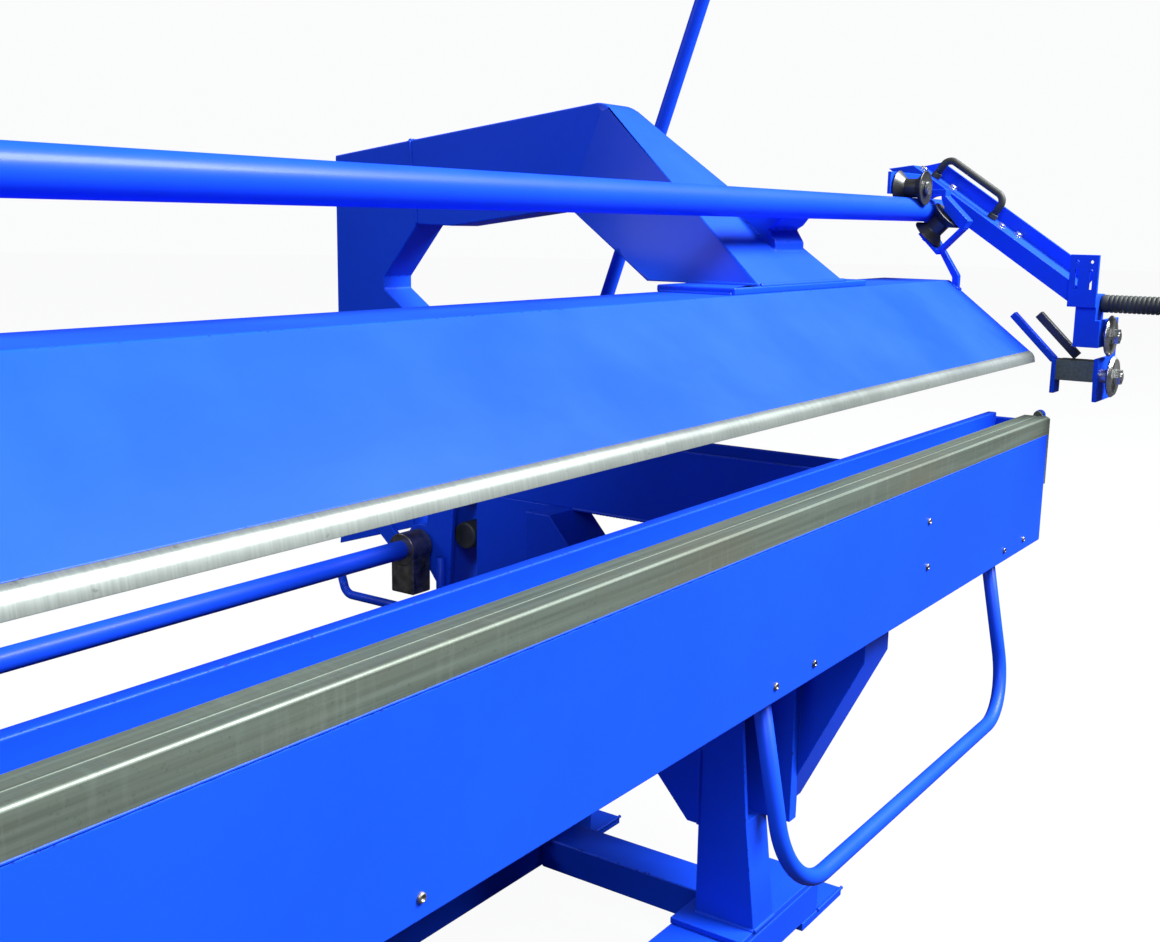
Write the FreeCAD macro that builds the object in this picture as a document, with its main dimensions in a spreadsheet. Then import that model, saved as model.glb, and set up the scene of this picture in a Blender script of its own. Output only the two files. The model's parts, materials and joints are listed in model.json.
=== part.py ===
import FreeCAD, Part
import Sketcher
import os
import re

# Roofing sheet metal folder, at its real size in millimetres. X runs along the bending line,
# Y into the machine and Z up; the floor is at Z = 0 and the bending line at Y = 0.
# Side outlines are drawn as (Y, height above the table), so a point below the table is negative.

doc = FreeCAD.newDocument("sheet_metal_folder")

SIZES = {
    # whole machine
    "work_length": 2660,
    "table_height": 805,
    "frame_spacing": 1500,
    "plate": 8,
    "run_clear": 0.05,
    "side_clear": 1,
    # base
    "anchor_thick": 14,
    "anchor_width": 150,
    "anchor_length": 124,
    "anchor_reach": 95,
    "anchor_hole": 7,
    "base_height": 56,
    "base_width": 124,
    "base_wall": 5,
    "front_base_y": 222,
    "rear_base_y": 677.5,
    "tie_width": 80,
    # stands
    "foot_thick": 10,
    "foot_overhang": 38,
    "leg_width": 230,
    "leg_front": 160,
    "leg_rear": 262,
    "leg_lean": 20,
    "leg_step": 556,
    "column_width": 65,
    "head_width": 87,
    "head_lap": 4,
    "head_front": 34,
    "head_face": 292,
    "fold_front": 130,
    "fold_width": 22,
    "brace_depth": 104.5,
    "brace_low": 580,
    "brace_high": 460,
    "brace_top": 552,
    "brace_heel": 226,
    "rear_leg_front": 600,
    "rear_leg_rear": 755,
    "arm_width": 101,
    "arm_top": 20,
    "arm_drop": 138,
    "arm_heel": 800,
    "lug_radius": 48,
    # pivot of the upper jaw
    "pivot_y": 790,
    "pivot_radius": 16,
    "boss_radius": 52,
    # lower beam and jaw bars
    "bar_depth": 20,
    "bar_height": 32,
    "jaw_bar_depth": 22.6,
    "seam": 0.8,
    "trough_front": 23,
    "trough_rear": 88,
    "trough_depth": 112,
    "trough_lip": 16,
    # bending beam
    "apron_height": 221,
    "apron_flange": 50,
    "hinge_pin": 5,
    "hinge_boss": 8,
    "cheek_thick": 8,
    "cheek_drop": 120,
    "bracket_thick": 10,
    "handle_radius": 11,
    "handle_half": 412,
    "handle_drop": 264,
    "handle_bend": 100,
    "handle_lean": 11,
    "handle_start": 25,
    "handle_foot": 6,
    "bolt_radius": 5,
    "clip_spread": 51,
    "clip_end": 151,
    # upper jaw
    "tip_y": 11.4,
    "tip_z": 94,
    "blade_y": 22,
    "blade_z": 113,
    "cover_front": 174,
    "cover_top": 230,
    "cover_back": 300,
    "cover_low": 150,
    "cover_wall": 6,
    "blade_back": 64,
    "close_angle": 6.86,
    # clamp arms
    "clamp_width": 72,
    "clamp_wall": 6,
    "foot_spread": 275,
    "flange_spread": 430,
    "flange_thick": 10,
    "nose_foot_front": 182,
    "nose_foot_back": 366,
    "rest_x": 812,
    "rest_width": 95,
    "peak_y": 515,
    "peak_z": 505,
    "elbow_y": 578,
    "elbow_z": 344,
    "joint_top_y": 917,
    "joint_top_z": 455,
    "joint_low_y": 901,
    "joint_low_z": 314,
    "throat_y": 823,
    "throat_z": 312,
    "post_front": 980,
    "post_rear": 1097,
    "post_top": 432,
    "post_bottom": 180,
    "tail_width": 56,
    "tail_y": 1010,
    "tail_z": 215,
    "tail_pin": 10,
    # clamping shaft
    "shaft_y": 873,
    "shaft_z": 245,
    "shaft_radius": 16.5,
    "shaft_wall": 4,
    "crank_radius": 70,
    "crank_angle": 27,
    "crank_thick": 10,
    "eye_clear": 2.5,
    "lever_x": 1030,
    "lever_radius": 12.5,
    "lever_length": 1200,
    "lever_lean": 19.9,
    "grip_radius": 16,
    "grip_length": 130,
    # rail
    "rail_y": 210,
    "rail_z": 352.5,
    "rail_radius": 20,
    "rail_wall": 4,
    "rail_overhang": 95,
    "strut_radius": 6,
    # cutter
    "cutter_park": 22,
    "cutter_width": 63,
    "cutter_foot_y": -28,
    "cutter_foot_z": 201,
    "cutter_length": 409,
    "cutter_angle": 33.7,
    "cutter_web": 25,
    "cutter_flange": 31,
    "cutter_wall": 6,
    "carry_half": 65.5,
    "carry_drop": 42,
    "carry_bend": 16,
    "carry_radius": 6.5,
    "carry_place": 270,
    "roller_waist": 16,
    "roller_flange": 30,
    "roller_length": 50,
    "roller_axle": 6,
    "roller_clear": 0.3,
    "top_roller_step": 137,
    "front_roller_step": 72,
    "knife_radius": 36,
    "knife_thick": 9,
    "knife_overlap": 2,
    "knife_step": 40,
    "knife_y": -96,
    "knife_z": 107,
    "knife_axle": 8,
    "frame_front": -78,
    "frame_top": 170,
    "frame_bottom": 27,
    "spine_gap": 54,
    "spine_width": 34,
    "slot_plate_thick": 8,
    "slot_plate_top": 281,
    "slot_plate_low": 192,
    "push_grip_radius": 15.5,
    "push_grip_length": 190,
    "push_grip_z": 198,
    "guide_rear": -14,
    "guide_low": 62,
    "guide_high": 98,
}

dim = doc.addObject("Spreadsheet::Sheet", "dim")
for row, (alias, number) in enumerate(SIZES.items(), 1):
    dim.set("A%d" % row, alias)
    dim.set("B%d" % row, str(number))
    dim.setAlias("B%d" % row, alias)
doc.recompute()

NAME = re.compile(r"[a-z][a-z_0-9]*")
V = FreeCAD.Vector
TURN = {
    "X": FreeCAD.Rotation(V(1, 1, 1), 120),
    "Y": FreeCAD.Rotation(V(1, 0, 0), 90),
    "Z": FreeCAD.Rotation(),
}

# lengths that several pieces share
HALF = "(work_length / 2)"
SIDE = "(frame_spacing / 2)"
BASE_TOP = "(anchor_thick + base_height)"
LEG_DROP = "(table_height - anchor_thick - base_height - foot_thick)"
ARM_INSIDE = "(arm_width - 2 * plate)"
PIVOT_GAP = "((arm_width - 2 * plate - clamp_width) / 2)"
CUTTER_X = "(work_length / 2 + cutter_park)"
KNIFE_X = "(work_length / 2 + cutter_park + knife_step)"

# places along X that follow from the sizes: the cutter is parked just past the end of the jaw
PLACES = {
    "cutter_x": CUTTER_X,
    "top_roller_x": "(%s - top_roller_step)" % CUTTER_X,
    "front_roller_x": "(%s - front_roller_step)" % CUTTER_X,
    "knife_x": KNIFE_X,
    "frame_spine": "(%s + spine_gap)" % KNIFE_X,
    "frame_right": "(%s + spine_gap + spine_width)" % KNIFE_X,
}


def formula(text):
    """Write out the places, and name the sheet in front of each of its aliases."""
    placed = NAME.sub(lambda found: PLACES.get(found.group(), found.group()), str(text))
    return NAME.sub(lambda found: "dim." + found.group() if found.group() in SIZES else found.group(),
                    placed)


def tie(thing, prop, text):
    thing.setExpression(prop, formula(text))


def place(thing, at, turn=FreeCAD.Rotation()):
    thing.Placement = FreeCAD.Placement(V(0, 0, 0), turn)
    for axis, text in zip("xyz", at):
        tie(thing, "Placement.Base." + axis, text)
    return thing


def outline(name, points, closed=True, origin=("0", "0"), angle="0"):
    """Draw straight edges through points that follow the sheet."""
    sketch = doc.addObject("Sketcher::SketchObject", name)
    count = len(points)
    edges = count if closed else count - 1
    for i in range(edges):
        sketch.addGeometry(Part.LineSegment(V(9 * i, 3 * i * i, 0), V(9 * i + 9, 3 * (i + 1) ** 2, 0)))
    for i in range(edges if closed else edges - 1):
        sketch.addConstraint(Sketcher.Constraint("Coincident", i, 2, (i + 1) % edges, 1))
    for i, (across, up) in enumerate(points):
        edge, end = (i, 1) if i < edges else (i - 1, 2)
        for kind, text in (("DistanceX", across), ("DistanceY", up)):
            index = sketch.addConstraint(Sketcher.Constraint(kind, -1, 1, edge, end, 1.0 + i))
            tie(sketch, "Constraints[%d]" % index, text)
    place(sketch, (origin[0], origin[1], "0"), FreeCAD.Rotation(V(0, 0, 1), 1))
    tie(sketch, "Placement.Rotation.Angle", angle)
    return sketch


def inset(name, shape, wall):
    """Move a closed outline in by a wall."""
    ring = doc.addObject("Part::Offset2D", name)
    ring.Source = shape
    ring.Join = 2
    tie(ring, "Value", "-(%s)" % wall)
    return ring


def prism(name, face, length, at, along="X"):
    """Extrude an outline to both sides of a place."""
    solid = doc.addObject("Part::Extrusion", name)
    solid.Base = face
    solid.DirMode = "Normal"
    solid.Solid = True
    solid.Symmetric = True
    tie(solid, "LengthFwd", length)
    return place(solid, at, TURN[along])


def across(name, face, length, x):
    """Extrude a side outline along X about x, with its zero height at the table."""
    return prism(name, face, length, (x, "0", "table_height"))


def rod(name, radius, length, at, along="X"):
    """A round bar centred on a place."""
    solid = doc.addObject("Part::Cylinder", name)
    tie(solid, "Radius", radius)
    tie(solid, "Height", length)
    start = [str(text) for text in at]
    index = "XYZ".index(along)
    sign = "+" if along == "Y" else "-"
    start[index] = "%s %s (%s) / 2" % (start[index], sign, length)
    return place(solid, start, TURN[along])


def block(name, size, centre):
    """A rectangular block centred on a place."""
    solid = doc.addObject("Part::Box", name)
    for prop, text in zip(("Length", "Width", "Height"), size):
        tie(solid, prop, text)
    return place(solid, ["%s - (%s) / 2" % pair for pair in zip(centre, size)])


def join(name, *solids):
    solid = doc.addObject("Part::MultiFuse", name)
    solid.Shapes = list(solids)
    return solid


def cut(name, body, *tools):
    solid = doc.addObject("Part::Cut", name)
    solid.Base = body
    solid.Tool = tools[0] if len(tools) == 1 else join(name + "_tools", *tools)
    return solid


def group(name, *solids):
    """Separate identical solids that share one name."""
    solid = doc.addObject("Part::Compound", name)
    solid.Links = list(solids)
    return solid


def mirrored(name, source):
    """The same piece on the left side."""
    solid = doc.addObject("Part::Mirroring", name)
    solid.Source = source
    solid.Normal = V(1, 0, 0)
    return solid


nodes = []


def piece(solid, label):
    solid.Label = label
    nodes.append(solid)
    return solid


def pair(solid, label):
    """A right-hand piece and its left-hand mirror image."""
    piece(solid, "right_" + label)
    piece(mirrored("left_" + label, solid), "left_" + label)


def at_table(height):
    return "table_height + (%s)" % height


# Base: two hollow beams on anchor plates, tied together under each stand
def base_beam(name, y):
    centre = ("0", y, "anchor_thick + base_height / 2")
    length = "frame_spacing + leg_width"
    outer = block(name + "_outer", (length, "base_width", "base_height"), centre)
    inner = block(name + "_inner", (length + " - 2 * base_wall", "base_width - 2 * base_wall",
                                    "base_height - 2 * base_wall"), centre)
    piece(cut(name + "_box", outer, inner), name)


def anchor_plate(name, side, y):
    x = "%s (frame_spacing + leg_width) / 2" % side
    plate = block(name, ("anchor_width", "anchor_length", "anchor_thick"),
                  (x + " %s (anchor_reach - anchor_width / 2)" % side, y, "anchor_thick / 2"))
    hole = rod(name + "_hole", "anchor_hole", "anchor_thick * 3",
               (x + " %s anchor_reach / 2" % side, y, "anchor_thick / 2"), "Z")
    return cut(name + "_drilled", plate, hole)


def base_tie(name, side):
    length = "rear_base_y - front_base_y - base_width"
    centre = ("%s frame_spacing / 2" % side, "(rear_base_y + front_base_y) / 2",
              "anchor_thick + base_height / 2")
    outer = block(name, ("tie_width", length, "base_height"), centre)
    inner = block(name + "_hollow", ("tie_width - 2 * base_wall", length + " - 2 * base_wall",
                                     "base_height - 2 * base_wall"), centre)
    return cut(name + "_tube", outer, inner)


base_beam("front_base_beam", "front_base_y")
base_beam("rear_base_beam", "rear_base_y")
piece(group("anchors", *[anchor_plate("anchor%d%d" % (i, j), side, y)
                         for i, side in enumerate("+-")
                         for j, y in enumerate(("front_base_y", "rear_base_y"))]), "anchor_plates")
piece(group("ties", base_tie("right_tie", "+"), base_tie("left_tie", "-")), "base_ties")


# Front leg: a leaning column on the inner side, and a hollow head beside it under the beam
def front_leg():
    left = "(frame_spacing / 2 - leg_width / 2)"
    middle = left + " + column_width / 2"
    height = "leg_step - arm_drop"
    half_way = at_table("-(leg_step + arm_drop) / 2")
    lower = outline("column_side", [
        ("leg_front", "-" + LEG_DROP),
        ("leg_front + leg_lean", "-leg_step"),
        ("leg_rear", "-leg_step"),
        ("leg_rear", "-" + LEG_DROP),
    ])
    column = cut("column", across("column_outer", lower, "column_width", middle),
                 across("column_inner", inset("column_inset", lower, "plate"),
                        "column_width - 2 * plate", middle))
    upper = outline("upper_side", [
        ("leg_front + leg_lean", "-leg_step"),
        ("leg_front + 2.7 * leg_lean", "-arm_drop"),
        ("leg_rear", "-arm_drop"),
        ("leg_rear", "-leg_step"),
    ])
    wall = across("upper_wall", upper, "plate", left + " + plate / 2")
    back = block("upper_back", ("column_width", "plate", height), (middle, "leg_rear - plate / 2", half_way))
    fold_x = left + " + column_width - fold_width"
    web = block("fold_web", ("plate", "leg_rear - fold_front", height),
                (fold_x + " + plate / 2", "(leg_rear + fold_front) / 2", half_way))
    flange = block("fold_flange", ("fold_width", "plate", height),
                   (fold_x + " + fold_width / 2", "fold_front + plate / 2", half_way))
    head_side = outline("head_side", [
        ("head_front", "-head_face"),
        ("leg_front + 3", "-leg_step"),
        ("leg_rear", "-leg_step"),
        ("leg_rear", "-arm_drop"),
        ("trough_rear", "-arm_drop"),
        ("trough_rear", "-trough_depth"),
        ("head_front", "-trough_depth"),
    ])
    x = left + " + column_width - head_lap + head_width / 2"
    head = cut("head", across("head_outer", head_side, "head_width", x),
               across("head_inner", inset("head_inset", head_side, "plate"), "head_width - 2 * plate", x))
    foot = block("leg_foot", ("leg_width + foot_overhang", "base_width", "foot_thick"),
                 (SIDE + " - foot_overhang / 2", "front_base_y", BASE_TOP + " + foot_thick / 2"))
    return join("leg_with_foot", column, wall, back, web, flange, head, foot)


# Brace: an open pan, its web towards the middle of the machine
def brace():
    side = outline("brace_side", [
        ("leg_rear", "-brace_low"),
        ("leg_rear", "-brace_high"),
        ("brace_top", "-arm_drop"),
        ("rear_leg_front", "-arm_drop"),
        ("rear_leg_front", "-brace_heel"),
        ("leg_rear + 20", "-brace_low"),
    ])
    x = SIDE + " - leg_width / 2 + brace_depth / 2"
    outer = across("brace_outer", side, "brace_depth", x)
    inner = across("brace_inner", inset("brace_inset", side, "plate"), "brace_depth",
                   x + " + plate")
    return cut("brace_pan", outer, inner)


def rear_leg():
    height = "table_height - arm_drop - " + BASE_TOP
    centre = (SIDE, "(rear_leg_front + rear_leg_rear) / 2", BASE_TOP + " + (%s) / 2" % height)
    depth = "rear_leg_rear - rear_leg_front"
    outer = block("rear_leg_outer", ("arm_width", depth, height), centre)
    inner = block("rear_leg_inner", ("arm_width - 2 * plate", depth + " - 2 * plate",
                                     height + " - 2 * plate"), centre)
    return cut("rear_leg_box", outer, inner)


# Lower arm: an open channel that carries the pivot in its two lugs
def lower_arm():
    side = outline("arm_side", [
        ("trough_rear", "-arm_drop"),
        ("trough_rear", "-arm_top"),
        ("pivot_y - lug_radius", "-arm_top"),
        ("pivot_y", "0"),
        ("pivot_y + lug_radius", "-arm_top"),
        ("arm_heel", "-arm_drop"),
    ])
    body = across("arm_outer", side, "arm_width", SIDE)
    lug = rod("arm_lug", "lug_radius", "arm_width", (SIDE, "pivot_y", "table_height"))
    solid = join("arm_full", body, lug)
    room = block("arm_room", (ARM_INSIDE, "2 * arm_heel", "4 * arm_drop"),
                 (SIDE, "trough_rear + plate + arm_heel", "table_height + arm_drop + plate"))
    channel = cut("arm_channel", solid, room)
    spacers = []
    for i, sign in enumerate("+-"):
        x = SIDE + " %s (clamp_width / 2 + (%s + side_clear) / 2)" % (sign, PIVOT_GAP)
        spacers.append(rod("arm_spacer%d" % i, "pivot_radius * 1.7", PIVOT_GAP + " - side_clear",
                           (x, "pivot_y", "table_height")))
    bore = rod("arm_bore", "pivot_radius", "2 * arm_width", (SIDE, "pivot_y", "table_height"))
    return cut("arm_bored", join("arm_bossed", channel, *spacers), bore)


def pivot_pin():
    return rod("pivot_bar", "pivot_radius", "arm_width + 24", (SIDE, "pivot_y", "table_height"))


# Two plates hung from the lower arm's heel carry the clamping shaft, with a bar across them
def shaft_bracket():
    side = outline("bracket_side", [
        ("arm_heel - 6", "-78"),
        ("arm_heel + 24", "-60"),
        ("shaft_y - 10", "-shaft_z + 36"),
        ("shaft_y - 10", "-shaft_z - 34"),
        ("arm_heel + 30", "-shaft_z - 76"),
        ("arm_heel + 10", "-shaft_z - 76"),
    ])
    offset = "(arm_width / 2 + bracket_thick / 2)"
    parts = []
    for i, sign in enumerate("-+"):
        x = "%s %s %s" % (SIDE, sign, offset)
        parts.append(across("bracket_plate%d" % i, side, "bracket_thick", x))
        parts.append(rod("bracket_boss%d" % i, "shaft_radius * 2.2", "bracket_thick",
                         (x, "shaft_y", at_table("-shaft_z"))))
    bar = block("bracket_bar", ("arm_width + 2 * bracket_thick", "plate", "shaft_z - 74"),
                (SIDE, "arm_heel + 12 + plate / 2", at_table("-(shaft_z + 226) / 2")))
    bore = rod("bracket_bore", "shaft_radius + run_clear", "3 * arm_width",
               (SIDE, "shaft_y", at_table("-shaft_z")))
    return cut("bracket_bored", join("bracket_full", bar, *parts), bore)


pair(front_leg(), "front_leg")
pair(brace(), "brace")
pair(rear_leg(), "rear_leg")
pair(lower_arm(), "lower_arm")
pair(pivot_pin(), "pivot_pin")
pair(shaft_bracket(), "shaft_bracket")


# Lower beam: an open trough with the steel jaw bar on its front wall
def lower_beam():
    side = outline("trough_side", [
        ("trough_front", "-trough_depth"),
        ("trough_rear", "-trough_depth"),
        ("trough_rear", "0"),
        ("trough_rear - trough_lip", "0"),
        ("trough_rear - trough_lip", "-trough_depth + plate"),
        ("trough_front + plate", "-trough_depth + plate"),
        ("trough_front + plate", "-10"),
        ("trough_front", "-10"),
    ])
    return across("trough", side, "work_length", "0")


def hinge_bracket():
    """Outer cheek of the bending beam's hinge, on a spacer block at the end of the lower beam."""
    thick = "cheek_thick + side_clear"
    spacer = block("hinge_spacer", (thick, "trough_rear - trough_front - 2", "trough_depth - 12"),
                   (HALF + " + (%s) / 2" % thick, "(trough_rear + trough_front) / 2 + 1",
                    at_table("-trough_depth / 2 - 4")))
    side = outline("hinge_side", [
        ("-hinge_boss - 1", "0"),
        ("-hinge_boss - 1", "-30"),
        ("trough_front", "-trough_depth"),
        ("trough_rear", "-trough_depth"),
        ("trough_rear", "-10"),
        ("0", "-10"),
        ("0", "0"),
    ])
    x = HALF + " + %s + bracket_thick / 2" % thick
    cheek = across("hinge_cheek_plate", side, "bracket_thick", x)
    boss = rod("hinge_cheek_boss", "hinge_boss + 1", "bracket_thick", (x, "0", "table_height"))
    bore = rod("hinge_cheek_bore", "hinge_pin + run_clear", "4 * bracket_thick", (x, "0", "table_height"))
    return join("hinge_bracket_full", cut("hinge_cheek_bored", join("hinge_cheek", cheek, boss), bore), spacer)


piece(lower_beam(), "lower_beam")
piece(block("jaw_bar", ("work_length", "jaw_bar_depth", "bar_height"),
            ("0", "seam / 2 + jaw_bar_depth / 2", at_table("-bar_height / 2"))), "lower_jaw_bar")
pair(hinge_bracket(), "hinge_bracket")


# Bending beam: folded apron, steel bar, hinge cheeks and two bow handles
def apron():
    front = "(-seam / 2 - bar_depth)"
    side = outline("apron_side", [
        (front, "-bar_height"),
        ("-seam / 2", "-bar_height"),
        ("-seam / 2", "-bar_height - plate"),
        (front + " + plate", "-bar_height - plate"),
        (front + " + plate", "-apron_height + plate"),
        (front + " + apron_flange", "-apron_height + plate"),
        (front + " + apron_flange", "-apron_height"),
        (front, "-apron_height"),
    ])
    return across("apron_fold", side, "work_length", "0")


def apron_bar():
    front = "(-seam / 2 - bar_depth)"
    side = outline("apron_bar_side", [
        (front, "-bar_height"),
        (front, "-2"),
        (front + " + 2", "0"),
        ("-seam / 2", "0"),
        ("-seam / 2", "-bar_height"),
    ])
    return across("apron_bar_full", side, "work_length", "0")


def hinge_cheek():
    front = "(-seam / 2 - bar_depth)"
    side = outline("cheek_side", [
        (front, "-cheek_drop"),
        (front, "-4"),
        (front + " + 8", "0"),
        ("0", "0"),
        ("hinge_boss", "0"),
        ("0", "-30"),
        ("0", "-cheek_drop"),
    ])
    x = HALF + " + cheek_thick / 2"
    plate = across("cheek_plate", side, "cheek_thick", x)
    boss = rod("cheek_boss", "hinge_boss", "cheek_thick", (x, "0", "table_height"))
    length = "cheek_thick + side_clear + bracket_thick + 4"
    pin = rod("cheek_pin", "hinge_pin", length, (HALF + " + (%s) / 2" % length, "0", "table_height"))
    return join("cheek_full", plate, boss, pin)


def bow(name, half, drop, bend, radius):
    """A bent round bar: two legs and a cross bar with round corners, hanging below its feet."""
    inside = "(%s - %s)" % (half, bend)
    depth = "(%s - %s)" % (drop, bend)
    parts = []
    for i, (sign, angle) in enumerate((("", -90), ("-", 180))):
        leg = doc.addObject("Part::Cylinder", "%s_leg%d" % (name, i))
        tie(leg, "Radius", radius)
        tie(leg, "Height", depth)
        place(leg, (sign + half, "0", "0"), TURN["Y"])
        corner = doc.addObject("Part::Torus", "%s_corner%d" % (name, i))
        tie(corner, "Radius1", bend)
        tie(corner, "Radius2", radius)
        corner.Angle3 = 90
        place(corner, (sign + inside, "-" + depth, "0"), FreeCAD.Rotation(V(0, 0, 1), angle))
        parts += [leg, corner]
    bar = doc.addObject("Part::Cylinder", name + "_cross_bar")
    tie(bar, "Radius", radius)
    tie(bar, "Height", "2 * " + inside)
    place(bar, ("-" + inside, "-" + drop, "0"), TURN["X"])
    return join(name, bar, *parts)


def bow_handle():
    """Handle with a round weld foot at each end, under the apron's lower flange."""
    bar = bow("bow", "handle_half", "handle_drop", "handle_bend", "handle_radius")
    lean = FreeCAD.Rotation(V(1, 0, 0), 90 - float(dim.handle_lean))
    y = "(handle_start - plate)"
    place(bar, (SIDE, y, at_table("-apron_height - handle_foot / 2")), lean)
    feet = [rod("bow_foot%d" % i, "handle_radius + 5", "handle_foot",
                (SIDE + " %s handle_half" % sign, y + " - 1", at_table("-apron_height - handle_foot / 2")), "Z")
            for i, sign in enumerate("+-")]
    return join("bow_with_feet", bar, *feet)


def apron_bolt(name, x, height):
    y = "(-seam / 2 - bar_depth)"
    return rod(name, "bolt_radius", "3", (x, y + " - 1.5", at_table(height)), "Y")


bolts = []
for k, (offset, height) in enumerate((("20", "-88"), ("24", "-156"))):
    bolts.append(apron_bolt("face_bolt%d" % k, SIDE + " + " + offset, height))
for k, middle in enumerate((HALF + " - clip_end", SIDE + " - handle_half + 17")):
    for n, sign in enumerate("-+"):
        x = "%s %s clip_spread" % (middle, sign)
        bolts.append(apron_bolt("clip_bolt%d%d" % (k, n), x, "-apron_height + 20"))
bolts += [mirrored("left_" + bolt.Name, bolt) for bolt in bolts]

piece(apron(), "apron")
piece(apron_bar(), "apron_bar")
pair(hinge_cheek(), "hinge_cheek")
pair(bow_handle(), "bow_handle")
piece(group("apron_bolt_set", *bolts), "apron_bolts")


# Upper jaw: hollow cover, steel blade under its edge
def clamp_cover():
    side = outline("cover_side", [
        ("blade_y", "blade_z"),
        ("cover_front", "cover_top"),
        ("cover_back", "cover_top"),
        ("cover_back", "cover_low"),
        ("blade_back", "blade_z + 6"),
    ])
    outer = across("cover_outer", side, "work_length", "0")
    inner = across("cover_inner", inset("cover_inset", side, "cover_wall"),
                   "work_length - 2 * cover_wall", "0")
    return cut("cover_box", outer, inner)


def clamp_blade():
    side = outline("blade_side", [
        ("tip_y", "tip_z"),
        ("tip_y + 1.5", "tip_z + 9"),
        ("tip_y + 5", "tip_z + 15"),
        ("blade_y", "blade_z"),
        ("blade_back", "blade_z + 6"),
        ("blade_back", "tip_z - (blade_back - tip_y) * tan(close_angle * 1 deg)"),
    ])
    return across("blade_full", side, "work_length", "0")


# Clamp arm: a boom of one width whose nose spreads evenly towards its foot plate
def station(name, lower, upper, width, wall):
    """A rectangle across the nose, from its lower to its upper line, drawn in by a wall."""
    rise = "(%s) - (%s)" % (upper[1], lower[1])
    run = "(%s) - (%s)" % (upper[0], lower[0])
    height = "sqrt((%s)^2 + (%s)^2)" % (rise, run)
    half = "((%s) / 2 - %s)" % (width, wall)
    sketch = outline(name, [("-" + half, wall), (half, wall),
                            (half, height + " - " + wall), ("-" + half, height + " - " + wall)])
    place(sketch, (SIDE, lower[0], at_table(lower[1])), FreeCAD.Rotation(V(1, 0, 0), 90))
    tie(sketch, "Placement.Rotation.Angle", "atan2(%s; %s)" % (rise, run))
    return sketch


def nose(name, wall):
    foot = "cover_top + flange_thick + %s" % wall
    front = "nose_foot_front + 2 * %s" % wall
    stations = [
        station(name + "_foot", ("nose_foot_back", foot), (front, foot), "foot_spread", wall),
        station(name + "_peak", ("elbow_y", "elbow_z"), ("peak_y", "peak_z"), "clamp_width", wall),
    ]
    loft = doc.addObject("Part::Loft", name)
    loft.Sections = stations
    loft.Solid = True
    loft.Ruled = True
    return loft


def rail_bracket():
    """Bent plate from the nose's front to the rail."""
    touch_y = "rail_y + rail_radius * cos(40 deg)"
    touch_z = "rail_z - rail_radius * sin(40 deg)"
    side = outline("rail_bracket_side", [
        (touch_y, touch_z),
        (touch_y + " + 6.4", touch_z + " + 7.7"),
        ("rail_y + 112", touch_z + " + 7.7"),
        ("rail_y + 90", "rail_z - 52.5"),
        ("rail_y + 52", "rail_z - 69.5"),
        ("rail_y + 28", "rail_z - 69.5"),
        ("rail_y + 28", "rail_z - 55.5"),
        ("rail_y + 40", "rail_z - 36.5"),
        ("rail_y + 30", "rail_z - 30.5"),
    ])
    return across("rail_bracket_full", side, "rest_width", "rest_x")


def clamp_arm():
    side = outline("boom_side", [
        ("peak_y", "peak_z"),
        ("joint_top_y", "joint_top_z"),
        ("joint_low_y", "joint_low_z"),
        ("throat_y", "throat_z"),
        ("elbow_y", "elbow_z"),
    ])
    outer = across("boom_outer", side, "clamp_width", SIDE)
    inner = across("boom_inner", inset("boom_inset", side, "clamp_wall"),
                   "clamp_width - 2 * clamp_wall", SIDE)
    boom = cut("boom", outer, inner)
    shell = cut("nose_shell", nose("nose_outer", "0"), nose("nose_inner", "clamp_wall"))
    foot = block("nose_flange", ("flange_spread", "cover_back - nose_foot_front + 4", "flange_thick"),
                 (SIDE, "(cover_back + nose_foot_front) / 2 - 2",
                  at_table("cover_top + flange_thick / 2")))
    return join("clamp_arm_full", boom, shell, foot, rail_bracket())


def rear_post():
    side = outline("post_side", [
        ("joint_top_y", "joint_top_z"),
        ("post_rear", "post_top"),
        ("post_rear", "-post_bottom"),
        ("post_front - 57", "-post_bottom"),
        ("pivot_y + 12", "-boss_radius"),
        ("pivot_y - boss_radius", "0"),
        ("pivot_y - 20", "boss_radius"),
        ("post_front", "200"),
        ("post_front", "221"),
        ("joint_low_y", "joint_low_z"),
    ])
    outer = across("post_outer", side, "clamp_width", SIDE)
    inner = across("post_inner", inset("post_inset", side, "clamp_wall"),
                   "clamp_width - 2 * clamp_wall", SIDE)
    boss = rod("post_boss", "boss_radius", "clamp_width", (SIDE, "pivot_y", "table_height"))
    bore = rod("post_bore", "pivot_radius + run_clear", "2 * arm_width", (SIDE, "pivot_y", "table_height"))
    return cut("post_bored", join("post_full", cut("post_box", outer, inner), boss), bore)


def jaw_tail():
    side = outline("tail_side", [
        ("post_front - 50", "-post_bottom"),
        ("post_rear", "-post_bottom"),
        ("post_rear + 13", "-post_bottom - 106"),
        ("post_front - 57", "-post_bottom - 48"),
    ])
    block_side = across("tail_block", side, "tail_width", SIDE)
    pin = rod("tail_bar", "tail_pin", "crank_thick + 24",
              (SIDE + " - tail_width / 2 + 5 - crank_thick / 2 + 3", "tail_y", at_table("-tail_z")))
    return join("tail_full", block_side, pin)


piece(clamp_cover(), "clamp_cover")
piece(clamp_blade(), "clamp_blade")
pair(clamp_arm(), "clamp_arm")
pair(rear_post(), "rear_post")
pair(jaw_tail(), "jaw_tail")


# Guide rail on the noses, with a strut to the cover near each end
def guide_rail():
    length = "work_length + 2 * rail_overhang"
    centre = ("0", "rail_y", at_table("rail_z"))
    return cut("rail_tube", rod("rail_outer", "rail_radius", length, centre),
               rod("rail_bore", "rail_radius - rail_wall", length + " - 2 * rail_wall", centre))


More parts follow.
